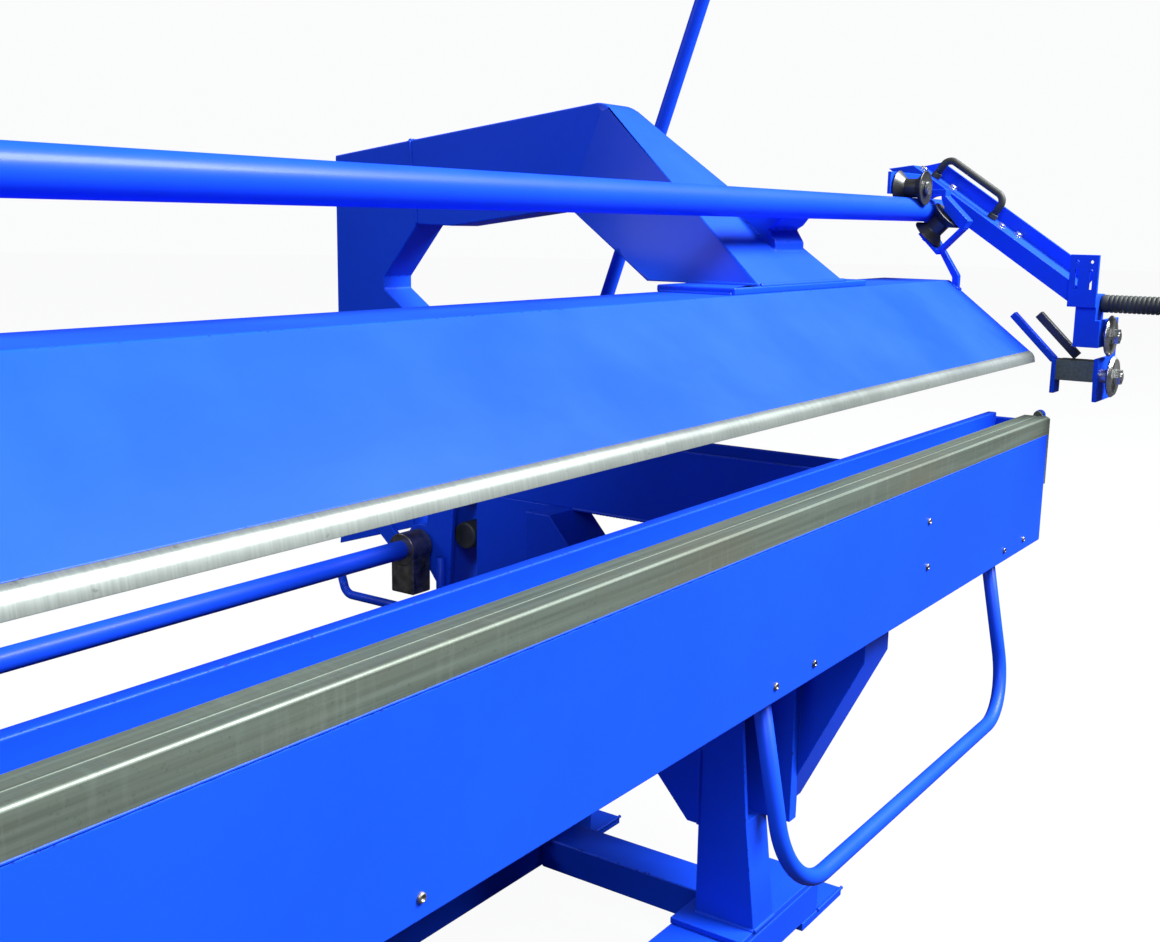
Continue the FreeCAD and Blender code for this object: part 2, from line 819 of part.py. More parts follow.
def rail_strut(name, side):
    slope = "(cover_top - blade_z) / (cover_front - blade_y)"
    foot = ("rail_y - 50", "blade_z + (rail_y - 50 - blade_y) * " + slope)
    head = ("rail_y + 6", "rail_z - rail_radius")
    half = "strut_radius"
    shape = outline(name + "_side", [
        (foot[0] + " - " + half, foot[1] + " - %s * %s" % (half, slope)),
        (foot[0] + " + " + half, foot[1] + " + %s * %s" % (half, slope)),
        (foot[0] + " + " + half, foot[1] + " + 16"),
        (head[0] + " + 14", head[1] + " + 8"),
        (head[0], head[1]),
        (foot[0] + " - " + half, foot[1] + " + 20"),
    ])
    return across(name, shape, "2 * strut_radius", "%s(%s - 8)" % (side, HALF))


piece(guide_rail(), "guide_rail")
piece(group("struts", rail_strut("right_strut", "+"), rail_strut("left_strut", "-")), "rail_struts")


# Clamping shaft with its cranks, links and long lever
def torsion_shaft():
    length = "lever_x + 30 + frame_spacing / 2 + arm_width / 2 + 30"
    x = "(%s) / 2 - frame_spacing / 2 - arm_width / 2 - 30" % length
    centre = (x, "shaft_y", at_table("-shaft_z"))
    return cut("shaft_tube", rod("shaft_outer", "shaft_radius", length, centre),
               rod("shaft_hollow", "shaft_radius - shaft_wall", length + " - 2 * shaft_wall", centre))


CRANK_X = "(%s - arm_width / 2 + side_clear + crank_thick / 2)" % SIDE
LINK_X = "(%s + crank_thick + side_clear)" % CRANK_X
CRANK_Y = "(shaft_y + crank_radius * sin(crank_angle * 1 deg))"
CRANK_Z = "(-shaft_z - crank_radius * cos(crank_angle * 1 deg))"


def strap(name, ends, radii, thick, x, bores):
    """A flat bar with round ends between two places of the side view."""
    (y1, z1), (y2, z2) = ends
    length = "sqrt(((%s) - (%s))^2 + ((%s) - (%s))^2)" % (y2, y1, z2, z1)
    web = outline(name + "_web", [("0", "-%s * 0.8" % radii[0]), (length, "-%s * 0.8" % radii[1]),
                                  (length, "%s * 0.8" % radii[1]), ("0", "%s * 0.8" % radii[0])],
                  origin=(y1, z1), angle="atan2((%s) - (%s); (%s) - (%s))" % (z2, z1, y2, y1))
    parts = [across(name + "_bar", web, thick, x)]
    tools = []
    for i, (y, z) in enumerate(ends):
        parts.append(rod("%s_eye%d" % (name, i), radii[i], thick, (x, y, at_table(z))))
        if bores[i]:
            tools.append(rod("%s_bore%d" % (name, i), bores[i], "4 * " + thick, (x, y, at_table(z))))
    return cut(name + "_bored", join(name + "_full", *parts), *tools)


def crank():
    arm = strap("crank", (("shaft_y", "-shaft_z"), (CRANK_Y, CRANK_Z)), ("26", "17"),
                "crank_thick", CRANK_X, ("shaft_radius", None))
    pin = rod("crank_pin", "tail_pin", "2 * crank_thick + 2",
              (CRANK_X + " + crank_thick / 2 + 1", CRANK_Y, at_table(CRANK_Z)))
    return join("crank_with_pin", arm, pin)


def link():
    return strap("link", ((CRANK_Y, CRANK_Z), ("tail_y", "-tail_z")), ("18", "20"), "crank_thick",
                 LINK_X, ("tail_pin + run_clear", "tail_pin + eye_clear"))


def lever_tube():
    lean = FreeCAD.Rotation(V(1, 0, 0), float(dim.lever_lean))
    hub = rod("lever_hub", "shaft_radius + 9", "44", ("lever_x", "shaft_y", at_table("-shaft_z")))
    bore = rod("lever_bore", "shaft_radius", "60", ("lever_x", "shaft_y", at_table("-shaft_z")))
    tube = doc.addObject("Part::Cylinder", "lever_bar")
    tie(tube, "Radius", "lever_radius")
    tie(tube, "Height", "lever_length")
    place(tube, ("lever_x", "shaft_y", at_table("-shaft_z")), lean)
    return cut("lever_bored", join("lever_full", hub, tube), bore)


def lever_grip():
    lean = FreeCAD.Rotation(V(1, 0, 0), float(dim.lever_lean))
    parts = []
    for name, radius, start, length in (("sleeve", "grip_radius", "lever_length - grip_length", "grip_length + 6"),
                                        ("socket", "lever_radius", "lever_length - grip_length - 1", "grip_length + 1")):
        tube = doc.addObject("Part::Cylinder", "grip_" + name)
        tie(tube, "Radius", radius)
        tie(tube, "Height", length)
        reach = "(%s)" % start
        place(tube, ("lever_x", "shaft_y - %s * sin(lever_lean * 1 deg)" % reach,
                     at_table("-shaft_z + %s * cos(lever_lean * 1 deg)" % reach)), lean)
        parts.append(tube)
    return cut("lever_grip_full", *parts)


piece(torsion_shaft(), "torsion_shaft")
pair(crank(), "crank")
pair(link(), "link")
piece(lever_tube(), "clamp_lever")
piece(lever_grip(), "lever_grip")


# Cutter: a channel arm that rides on the rail and carries two round knives
BEARER_Y = "(rail_y + roller_length / 2 + 2 + cutter_wall / 2)"
ROLLER_REACH = "(rail_radius + roller_waist + roller_clear)"


def in_arm(name, points):
    return outline(name, points, origin=("cutter_foot_y", "cutter_foot_z"), angle="cutter_angle")


def cutter_arm():
    near = in_arm("near_flange_side", [("0", "0"), ("cutter_length", "0"),
                                       ("cutter_length - 36", "cutter_web + cutter_wall"),
                                       ("0", "cutter_web + cutter_wall")])
    web = in_arm("web_side", [("0", "cutter_web"), ("cutter_length - 29", "cutter_web"),
                              ("cutter_length - 36", "cutter_web + cutter_wall"),
                              ("0", "cutter_web + cutter_wall")])
    far = in_arm("far_flange_side", [("0", "cutter_web"), ("cutter_length - 29", "cutter_web"),
                                     ("cutter_length - 60", "cutter_web + cutter_flange"),
                                     ("0", "cutter_web + cutter_flange")])
    notch = rod("rail_notch", "rail_radius + 6", "4 * cutter_wall", ("cutter_x", "rail_y", at_table("rail_z")))
    channel = join("channel",
                   cut("near_flange_notched",
                       across("near_flange", near, "cutter_wall", "cutter_x + cutter_wall / 2"), notch),
                   across("web", web, "cutter_width", "cutter_x + cutter_width / 2"),
                   across("far_flange", far, "cutter_wall", "cutter_x + cutter_width - cutter_wall / 2"))
    right = "(cutter_x + cutter_wall)"
    left = "(top_roller_x - roller_flange - 2)"
    low = "(rail_z + rail_radius + 6)"
    high = "(rail_z + rail_radius + 43.5)"
    bearer = block("roller_bearer", ("%s - %s" % (right, left), "cutter_wall", "%s - %s" % (high, low)),
                   ("(%s + %s) / 2" % (right, left), BEARER_Y, at_table("(%s + %s) / 2" % (high, low))))
    bore = rod("bearer_bore", "roller_axle - run_clear", "4 * cutter_wall",
               ("top_roller_x", BEARER_Y, at_table("rail_z + " + ROLLER_REACH)), "Y")
    return join("cutter_arm_full", channel, cut("bearer_bored", bearer, bore))


def turned(name, points, centre, tilt=0):
    """Spin a half outline of (place along the axis, radius) about an axis across the rail."""
    shape = outline(name + "_half", points)
    solid = doc.addObject("Part::Revolution", name)
    solid.Source = shape
    solid.Axis = V(1, 0, 0)
    solid.Angle = 360
    solid.Solid = True
    turn = FreeCAD.Rotation(V(1, 0, 0), tilt) * FreeCAD.Rotation(V(0, 0, 1), 90)
    return place(solid, centre, turn)


def roller(name, x, direction):
    """A roller with a waist for the tube, touching it in a direction given as two signs."""
    centre = (x, "rail_y + %s * %s" % (ROLLER_REACH, direction[0]),
              at_table("rail_z + %s * %s" % (ROLLER_REACH, direction[1])))
    half = "roller_length / 2"
    points = [("-" + half, "roller_axle"), ("-" + half, "roller_flange"), ("-10", "roller_waist"),
              ("10", "roller_waist"), (half, "roller_flange"), (half, "roller_axle")]
    tilt = 0 if direction[0] == "0" else -45
    return turned(name, points, centre, tilt)


DOWN = "sqrt(0.5)"
UPPER_Z = "(knife_z + knife_radius - knife_overlap / 2)"
LOWER_Z = "(knife_z - knife_radius + knife_overlap / 2)"
LOWER_Y = "(knife_y - knife_thick - roller_clear)"


def front_axle(name, radius, length):
    """A round bar on the front roller's own line."""
    solid = doc.addObject("Part::Cylinder", name)
    tie(solid, "Radius", radius)
    tie(solid, "Height", length)
    away = "%s * %s" % (ROLLER_REACH, DOWN)
    back = "(%s) / 2 * %s" % (length, DOWN)
    return place(solid, ("front_roller_x", "rail_y - %s - %s" % (away, back),
                         at_table("rail_z - %s + %s" % (away, back))), FreeCAD.Rotation(V(1, 0, 0), -135))


def front_yoke():
    """Fork round the front roller, with a strap over the rail to the roller bearer."""
    half = "(roller_length / 2 + 2)"
    back = "(rail_radius + roller_waist + roller_flange + 4)"
    fork = outline("yoke_side", [
        ("-%s - 6" % half, "-26"),
        ("-%s - 6" % half, "-%s - 6" % back),
        ("%s + 6" % half, "-%s - 6" % back),
        ("%s + 6" % half, "-26"),
        (half, "-26"),
        (half, "-" + back),
        ("-" + half, "-" + back),
        ("-" + half, "-26"),
    ], origin=("rail_y", "rail_z"), angle="-45")
    front = "rail_y - roller_length / 2 - 8"
    rear = "rail_y + roller_length / 2 + 2"
    low = "rail_z + rail_radius + 7.5"
    strap_side = outline("yoke_strap_side", [
        ("rail_y - 75", "rail_z - 32.5"),
        ("rail_y - 39.6", "rail_z + 2.8"),
        (front, "rail_z + 20"),
        (front, low),
        (rear, low),
        (rear, low + " + 8"),
        (front + " - 8", low + " + 8"),
        (front + " - 8", "rail_z + 24"),
        ("rail_y - 84", "rail_z - 18"),
    ])
    width = "roller_flange - 4"
    full = join("yoke_full", across("yoke_fork", fork, width, "front_roller_x"),
                across("yoke_strap", strap_side, width, "front_roller_x"))
    return cut("yoke_bored", full, front_axle("yoke_bore", "roller_axle - run_clear", "2 * %s + 18" % half))


def roller_axles():
    length = "roller_length + cutter_wall + 4"
    top = rod("top_axle", "roller_axle - run_clear", length,
              ("top_roller_x", "rail_y + cutter_wall / 2", at_table("rail_z + " + ROLLER_REACH)), "Y")
    head = rod("top_axle_head", "roller_axle + 5", "4",
               ("top_roller_x", "rail_y - roller_length / 2 - 3.5", at_table("rail_z + " + ROLLER_REACH)), "Y")
    low = front_axle("front_axle", "roller_axle - run_clear", "roller_length + 22")
    return group("roller_axle_set", join("top_axle_full", top, head), low)


def carry_handle():
    bar = bow("carry", "carry_half", "carry_drop", "carry_bend", "carry_radius")
    turn = TURN["X"] * FreeCAD.Rotation(V(0, 0, 1), float(dim.cutter_angle) + 180)
    up = "(cutter_web + cutter_wall)"
    y = "cutter_foot_y + carry_place * cos(cutter_angle * 1 deg) - %s * sin(cutter_angle * 1 deg)" % up
    z = "cutter_foot_z + carry_place * sin(cutter_angle * 1 deg) + %s * cos(cutter_angle * 1 deg)" % up
    return place(bar, ("cutter_x + cutter_width / 2", y, at_table(z)), turn)


def slot_plate():
    """Height plate on the arm's end: two holes over two slots."""
    x = "(cutter_x - slot_plate_thick / 2)"
    plate = block("slot_plate_full", ("slot_plate_thick", "48", "slot_plate_top - slot_plate_low"),
                  (x, "frame_front + 24", at_table("(slot_plate_top + slot_plate_low) / 2")))
    tools = []
    for i, step in enumerate(("12", "36")):
        y = "frame_front + " + step
        tools.append(rod("plate_hole%d" % i, "3", "20", (x, y, at_table("slot_plate_top - 12"))))
        tools.append(block("plate_slot%d" % i, ("20", "5", "34"), (x, y, at_table("slot_plate_top - 42"))))
    return cut("slot_plate_cut", plate, *tools)


def knife_frame():
    """C-shaped plate round the cut, with the block that hangs it on the height plate."""
    thick = "plate"
    face = outline("c_side", [
        ("cutter_x", "frame_top"),
        ("frame_right", "frame_top"),
        ("frame_right", "frame_bottom"),
        ("knife_x - 20", "frame_bottom"),
        ("knife_x - 26", "knife_z - 30"),
        ("knife_x - 26", "knife_z - 4"),
        ("frame_spine", "knife_z - 4"),
        ("frame_spine", "knife_z + 16"),
        ("cutter_x", "knife_z + 16"),
    ])
    plate = prism("c_plate", face, thick, ("0", "frame_front - plate / 2", "table_height"), "Y")
    height = "slot_plate_low + 22 - (knife_z + 16)"
    head = block("knife_head", ("cutter_width - 12", "35", height),
                 ("cutter_x + cutter_width / 2 - 6", "frame_front + 17.5",
                  at_table("knife_z + 16 + (%s) / 2" % height)))
    return join("knife_frame_full", plate, head)


def knife(name, y, height):
    """A round blade with a bevelled edge and a hub."""
    half = "knife_thick / 2"
    points = [("-" + half, "knife_axle"), ("-" + half, "knife_radius - 4"), ("0", "knife_radius"),
              ("1.5", "knife_radius"), (half, "knife_radius - 4"), (half, "knife_axle")]
    shape = outline(name + "_half", points)
    solid = doc.addObject("Part::Revolution", name)
    solid.Source = shape
    solid.Axis = V(1, 0, 0)
    solid.Angle = 360
    solid.Solid = True
    return place(solid, ("knife_x", y, at_table(height)), FreeCAD.Rotation(V(0, 0, 1), 90))


def knife_axle(name, y, height):
    """Shouldered bolt from the frame through a knife, with its nut."""
    rear = "frame_front - plate"
    length = "(%s) - (%s) + knife_thick / 2 + 12" % (rear, y)
    shank = rod(name + "_shank", "knife_axle - run_clear", length,
                ("knife_x", "(%s) - (%s) / 2" % (rear, length), at_table(height)), "Y")
    shoulder_length = "(%s) - (%s) - knife_thick / 2 - roller_clear" % (rear, y)
    shoulder = rod(name + "_shoulder", "knife_axle + 4", shoulder_length,
                   ("knife_x", "(%s) - (%s) / 2" % (rear, shoulder_length), at_table(height)), "Y")
    nut = doc.addObject("Part::Prism", name + "_nut")
    nut.Polygon = 6
    tie(nut, "Circumradius", "knife_axle + 6")
    tie(nut, "Height", "10")
    place(nut, ("knife_x", "(%s) - knife_thick / 2 - roller_clear" % y, at_table(height)),
          FreeCAD.Rotation(V(1, 0, 0), 90))
    return join(name, shank, shoulder, nut)


def sloping_bar(name, low, high, x, width, thick):
    (y1, z1), (y2, z2) = low, high
    length = "sqrt(((%s) - (%s))^2 + ((%s) - (%s))^2)" % (y2, y1, z2, z1)
    shape = outline(name + "_side", [("0", "0"), (length, "0"), (length, thick), ("0", thick)],
                    origin=low, angle="atan2((%s) - (%s); (%s) - (%s))" % (z2, z1, y2, y1))
    return across(name, shape, width, x)


def guide_fork():
    plate = block("fork_plate", ("34", "8", "guide_high - 38"),
                  ("knife_x - 9", "guide_rear + 4", at_table("(guide_high + 38) / 2")))
    bar = sloping_bar("fork_bar", ("guide_rear + 10", "guide_high - 6"), ("guide_rear + 88", "guide_high + 70"),
                      "knife_x - 16", "14", "12")
    return join("fork_full", plate, bar)


def stop_bar():
    return sloping_bar("stop_full", ("guide_rear - 22", "guide_high + 0.2"), ("guide_rear + 50", "guide_high + 70"),
                       "knife_x + 8", "14", "14")


def push_grip():
    centre = ("knife_x - 8", "frame_front - push_grip_length / 2", at_table("push_grip_z"))
    return rod("push_grip_full", "push_grip_radius", "push_grip_length", centre, "Y")


def arm_bolt(name, along_arm, step):
    y = "cutter_foot_y + (%s) * cos(cutter_angle * 1 deg)" % along_arm
    z = "cutter_foot_z + (%s) * sin(cutter_angle * 1 deg)" % along_arm
    up = "(cutter_web + cutter_wall)"
    head = doc.addObject("Part::Prism", name)
    head.Polygon = 6
    tie(head, "Circumradius", "7")
    tie(head, "Height", "6")
    return place(head, ("cutter_x + cutter_width / 2 + %s" % step, y + " - %s * sin(cutter_angle * 1 deg)" % up,
                        at_table(z + " + %s * cos(cutter_angle * 1 deg)" % up)),
                 FreeCAD.Rotation(V(1, 0, 0), float(dim.cutter_angle)))


piece(cutter_arm(), "cutter_arm")
piece(front_yoke(), "front_yoke")
piece(roller("top_roller_turned", "top_roller_x", ("0", "1")), "top_roller")
piece(roller("front_roller_turned", "front_roller_x", ("-" + DOWN, "-" + DOWN)), "front_roller")
piece(roller_axles(), "roller_axles")
piece(carry_handle(), "carry_handle")
piece(slot_plate(), "slot_plate")
piece(knife_frame(), "knife_frame")
piece(knife("upper_knife_turned", "knife_y", UPPER_Z), "upper_knife")
piece(knife("lower_knife_turned", LOWER_Y, LOWER_Z), "lower_knife")
piece(group("knife_axle_set", knife_axle("upper_axle", "knife_y", UPPER_Z),
            knife_axle("lower_axle", LOWER_Y, LOWER_Z)), "knife_axles")
piece(block("guide_body", ("44", "guide_rear - frame_front", "guide_high - guide_low"),
            ("knife_x - 4", "(guide_rear + frame_front) / 2", at_table("(guide_high + guide_low) / 2"))),
      "guide_block")
piece(guide_fork(), "guide_fork")
piece(stop_bar(), "stop_bar")
piece(push_grip(), "push_grip")
piece(group("arm_bolt_set", *[arm_bolt("arm_bolt%d" % k, at, step)
                              for k, (at, step) in enumerate((("358", "-12"), ("300", "12"), ("178", "-12"),
                                                              ("150", "14")))]), "cutter_bolts")

doc.recompute()

problems = [thing.Label for thing in doc.Objects if "Invalid" in thing.State or "Error" in thing.State]
if problems:
    raise RuntimeError("objects that failed: " + ", ".join(problems))
for solid in nodes:
    if solid.Shape.isNull() or not solid.Shape.isValid():
        raise RuntimeError("no valid shape: " + solid.Label)

os.makedirs("parts", exist_ok=True)
for solid in nodes:
    solid.Shape.exportStep("parts/%s.step" % solid.Label)
    print(solid.Label, len(solid.Shape.Solids), round(solid.Shape.Volume / 1000), "cm3")
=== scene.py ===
"""Roofing sheet metal folder: surfaces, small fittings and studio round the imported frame."""
import json
import math

import bmesh
import bpy
from bpy.props import FloatProperty, FloatVectorProperty, IntProperty, PointerProperty
from bpy.types import Operator, Panel, PropertyGroup
from mathutils import Matrix, Vector

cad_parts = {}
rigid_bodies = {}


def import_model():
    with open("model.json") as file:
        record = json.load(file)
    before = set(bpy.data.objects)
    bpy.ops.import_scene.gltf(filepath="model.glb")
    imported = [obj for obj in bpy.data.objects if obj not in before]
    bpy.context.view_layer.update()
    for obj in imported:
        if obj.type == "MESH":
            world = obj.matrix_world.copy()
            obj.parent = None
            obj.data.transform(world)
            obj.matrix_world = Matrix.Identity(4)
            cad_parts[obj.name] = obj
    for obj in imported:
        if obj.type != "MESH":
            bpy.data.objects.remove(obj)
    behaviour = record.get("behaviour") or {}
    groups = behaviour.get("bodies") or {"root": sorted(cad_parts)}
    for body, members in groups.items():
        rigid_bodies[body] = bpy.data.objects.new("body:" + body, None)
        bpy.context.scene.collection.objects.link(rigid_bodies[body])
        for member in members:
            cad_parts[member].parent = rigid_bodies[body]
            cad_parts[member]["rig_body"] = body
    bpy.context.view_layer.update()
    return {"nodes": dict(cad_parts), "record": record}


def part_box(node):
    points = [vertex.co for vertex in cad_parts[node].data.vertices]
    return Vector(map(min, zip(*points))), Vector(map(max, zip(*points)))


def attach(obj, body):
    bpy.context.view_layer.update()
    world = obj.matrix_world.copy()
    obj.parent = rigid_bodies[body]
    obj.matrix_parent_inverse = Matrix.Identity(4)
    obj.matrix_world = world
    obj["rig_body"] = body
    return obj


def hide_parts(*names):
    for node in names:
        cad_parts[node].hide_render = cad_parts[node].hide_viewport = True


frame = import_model()

bl_info = {
    "name": "Sheet metal folder",
    "version": (1, 0, 0),
    "blender": (4, 5, 0),
    "location": "View3D > Sidebar > Folder",
    "description": "Dresses the roofing sheet metal folder and lights it in a studio",
    "category": "Object",
}

NODES = frame["nodes"]
SLOT_OF = {part["node"]: part["material_slot"] for part in frame["record"]["subparts"]}
finishes = {}

CENTRE = 0.0001  # the radius at which a turned profile ends on its axis
TABLE = 0.805
ARM_X = 0.750
LEVER_HUB = (1.030, 0.873, 0.560)
HUB_RADIUS = 0.0255
CUTTER_LEAN = math.radians(33.7)
CUTTER_ALONG = Vector((0, math.cos(CUTTER_LEAN), math.sin(CUTTER_LEAN)))
CUTTER_UP = Vector((0, -math.sin(CUTTER_LEAN), math.cos(CUTTER_LEAN)))
CUTTER_FOOT = Vector((1.3835, -0.028, 1.006))
CUTTER_WEB = 0.031
CAMERA_PLACE = (-1.020, -0.6696, 1.128)
# name, place, target, size, power in watts, strength in reflections
LAMPS = (
    ("key_lamp", (3.0, -4.2, 6.2), (0.2, 0.1, 0.85), (4.2, 3.0), 2600.0, 0.6),
    ("left_lamp", (-3.6, -2.3, 4.2), (0.7, 0.3, 1.1), (2.6, 2.0), 210.0, 0.05),
    ("rear_lamp", (-2.6, 4.4, 3.8), (0.0, 0.5, 0.9), (2.4, 1.8), 90.0, 0.02),
)


# Shader maths

class Wire:
    """One output of a node. Arithmetic on it adds Math nodes."""

    def __init__(self, paint, socket):
        self.paint = paint
        self.socket = socket

    def math(self, operation, *others):
        values = {i: value for i, value in enumerate((self, *others))}
        return self.paint.add("ShaderNodeMath", {"operation": operation}, values)

    def __add__(self, other):
        return self.math("ADD", other)

    def __sub__(self, other):
        return self.math("SUBTRACT", other)

    def __rsub__(self, other):
        return self.paint.add("ShaderNodeMath", {"operation": "SUBTRACT"}, {0: other, 1: self})

    def __mul__(self, other):
        return self.math("MULTIPLY", other)

    __radd__ = __add__
    __rmul__ = __mul__

    def band(self, low, high, out_low=0.0, out_high=1.0):
        """Spread the values between two limits over another range, held at its ends."""
        return self.paint.add("ShaderNodeMapRange", {"clamp": True},
                              {"Value": self, "From Min": low, "From Max": high,
                               "To Min": out_low, "To Max": out_high})


class Paint:
    """A new material and the one method that adds its nodes."""

    def __init__(self, name):
        self.material = bpy.data.materials.new(name)
        self.material.use_nodes = True
        self.tree = self.material.node_tree
        self.tree.nodes.clear()

    def add(self, kind, settings=None, inputs=None, output=0):
        node = self.tree.nodes.new(kind)
        for name, value in (settings or {}).items():
            if name == "stops":
                ramp = node.color_ramp
                while len(ramp.elements) < len(value):
                    ramp.elements.new(0.5)
                for element, (place, colour) in zip(ramp.elements, value):
                    element.position = place
                    element.color = (*colour, 1.0)
            else:
                setattr(node, name, value)
        for name, value in (inputs or {}).items():
            if isinstance(value, Wire):
                self.tree.links.new(value.socket, node.inputs[name])
            else:
                socket = node.inputs[name]
                wide = socket.type == "RGBA" and len(value) == 3
                socket.default_value = (*value, 1.0) if wide else value
        return Wire(self, node.outputs[output]) if len(node.outputs) else None

    def place(self, scale):
        """Object coordinates, stretched along the axes."""
        point = self.add("ShaderNodeTexCoord", output=3)
        return self.add("ShaderNodeMapping", {}, {"Vector": point, "Scale": scale})

    def noise(self, scale, detail=3.0, stretch=(1.0, 1.0, 1.0)):
        return self.add("ShaderNodeTexNoise", {}, {"Vector": self.place(stretch), "Scale": scale,
                                                   "Detail": detail, "Roughness": 0.55})

    def mix(self, factor, first, second, blend="MIX"):
        """Blend two colours."""
        return self.add("ShaderNodeMix", {"data_type": "RGBA", "blend_type": blend},
                        {0: factor, 6: first, 7: second}, output=2)

    def facing_up(self):
        normal = self.add("ShaderNodeNewGeometry", output=1)
        return self.add("ShaderNodeSeparateXYZ", {}, {"Vector": normal}, output=2)

    # The faces that soften() marks on rounded edges: they mask paint chips and the painted edge
    # highlights.
    def edge(self):
        return self.add("ShaderNodeAttribute", {"attribute_name": "edge"}, output=2)

    def bump(self, height, distance, strength):
        return self.add("ShaderNodeBump", {},
                        {"Height": height, "Distance": distance, "Strength": strength})

    def surface(self, **sockets):
        names = {name.replace("_", " ").title().replace("Ior", "IOR"): value
                 for name, value in sockets.items()}
        shader = self.add("ShaderNodeBsdfPrincipled", {}, names)
        self.add("ShaderNodeOutputMaterial", {}, {"Surface": shader})
        return self.material


def lighter(colour, factor):
    return tuple(min(1.0, part * factor) for part in colour)


def blue_enamel(look):
    """Satin sprayed enamel: orange peel, faint cloudiness, dust on top, chips to primer and a
    painted highlight on edges.
    """
    paint = Paint("blue_enamel")
    cloud = paint.noise(1.6, 4.0)
    mottle = paint.noise(38.0, 3.0)
    base = paint.mix(cloud.band(0.35, 0.65),
                     lighter(look.blue, 0.93), lighter(look.blue, 1.06))
    base = paint.mix(mottle.band(0.3, 0.7) * 0.10, base, lighter(look.blue, 1.30))
    dust = paint.facing_up().band(0.35, 1.0) * paint.noise(5.0, 6.0).band(0.38, 0.72)
    base = paint.mix(dust * look.dust, base, look.dust_colour)
    chips = paint.edge() * paint.noise(210.0, 2.0).band(0.60, 0.66)
    # Painted highlight: a lighter blue along the rounded edges stands in for light catching them.
    base = paint.mix(paint.edge() * 0.25, base, lighter(look.blue, 1.9))
    base = paint.mix(chips * 0.75, base, look.primer)
    peel = paint.noise(150.0, 2.0)
    scratch = paint.noise(26.0, 5.0, (1.0, 14.0, 14.0))
    rough = (cloud.band(0.3, 0.7, 0.38, 0.46) + dust * 0.14 + chips * 0.2
             + scratch.band(0.6, 0.8) * 0.06)
    normal = paint.bump(peel + scratch * 0.25 - chips * 1.5, 0.00012, 0.55)
    return paint.surface(base_color=base, roughness=rough, normal=normal, coat_weight=0.05,
                         coat_roughness=0.20, specular_ior_level=0.12)


def bar_steel(look):
    """Flat bar with a rolled, lightly oiled face, ground lengthwise and browned in places."""
    paint = Paint("bar_steel")
    along = paint.noise(30.0, 6.0, (0.10, 6.0, 6.0))
    across = paint.noise(120.0, 4.0, (1.0, 0.12, 0.12))
    stain = paint.noise(7.0, 5.0, (0.5, 1.6, 1.6))
    speck = paint.noise(260.0, 2.0)
    base = paint.mix(along.band(0.3, 0.7), lighter(look.bar, 0.72), lighter(look.bar, 1.22))
    base = paint.mix(stain.band(0.46, 0.70) * 0.55, base, look.brown)
    base = paint.mix(across.band(0.55, 0.75) * 0.30, base, lighter(look.bar, 1.6))
    base = paint.mix(speck.band(0.62, 0.72) * 0.35, base, lighter(look.bar, 0.4))
    # Painted highlight: lighter steel along the rounded edges stands in for light catching them.
    base = paint.mix(paint.edge() * 0.25, base, lighter(look.bar, 1.4))
    rough = stain.band(0.35, 0.7, 0.36, 0.54) + speck * 0.08 + paint.edge() * 0.18
    normal = paint.bump(along + across * 0.6 + speck * 0.4, 0.00010, 0.5)
    return paint.surface(base_color=base, roughness=rough, metallic=0.42, normal=normal,
                         specular_ior_level=0.35)


def blade_steel(look):
    """Bright planed blade: short cross-cut marks, a soft haze and small dark spots."""
    paint = Paint("blade_steel")
    cuts = paint.noise(420.0, 3.0, (1.0, 0.05, 0.05))
    haze = paint.noise(16.0, 5.0, (0.7, 2.0, 2.0))
    spot = paint.noise(140.0, 3.0)
    base = paint.mix(cuts.band(0.3, 0.7), lighter(look.blade, 0.82), lighter(look.blade, 1.10))
    base = paint.mix(haze.band(0.45, 0.75) * 0.35, base, lighter(look.blade, 0.66))
    base = paint.mix(spot.band(0.66, 0.74) * 0.55, base, lighter(look.blade, 0.35))
    # Painted highlight: lighter steel along the rounded edges stands in for light catching them.
    base = paint.mix(paint.edge() * 0.4, base, lighter(look.blade, 1.7))
    rough = haze.band(0.3, 0.7, 0.34, 0.48)
    normal = paint.bump(cuts + spot * 0.5, 0.00010, 0.55)
    return paint.surface(base_color=base, roughness=rough, metallic=0.60, normal=normal)


def zinc_steel(look):
    """Bright zinc plating with a faint crystal pattern and darker hollows."""
    paint = Paint("zinc_steel")
    grain = paint.noise(180.0, 4.0)
    cloud = paint.noise(24.0, 3.0)
    base = paint.mix(grain.band(0.3, 0.7), lighter(look.zinc, 0.78), lighter(look.zinc, 1.15))
    base = paint.mix(cloud.band(0.5, 0.75) * 0.3, base, (0.42, 0.40, 0.34))
    rough = cloud.band(0.3, 0.7, 0.20, 0.36)
    normal = paint.bump(grain, 0.00008, 0.4)
    return paint.surface(base_color=base, roughness=rough, metallic=0.95, normal=normal)


def black_rubber(look):
    """Moulded rubber with a painted highlight on its edges and a fine grain."""
    paint = Paint("black_rubber")
    grain = paint.noise(520.0, 3.0)
    wear = paint.noise(45.0, 4.0)
    base = paint.mix(wear.band(0.4, 0.75) * 0.5, look.rubber, lighter(look.rubber, 2.4))
    # Painted highlight: a lighter grey along the rounded rims stands in for light catching them.
    base = paint.mix(paint.edge() * 0.3, base, lighter(look.rubber, 3.2))
    rough = wear.band(0.3, 0.7, 0.50, 0.68)
    normal = paint.bump(grain, 0.00015, 0.6)
    return paint.surface(base_color=base, roughness=rough, normal=normal,
                         specular_ior_level=0.45)


def black_plastic(look):
    """Hard black moulded plastic with a satin skin and rubbed running faces."""
    paint = Paint("black_plastic")
    grain = paint.noise(300.0, 2.0)
    rub = paint.noise(32.0, 4.0)
    base = paint.mix(rub.band(0.45, 0.7) * 0.4, look.plastic, lighter(look.plastic, 2.2))
    rough = rub.band(0.3, 0.7, 0.32, 0.46)
    return paint.surface(base_color=base, roughness=rough, normal=paint.bump(grain, 0.00008, 0.4))


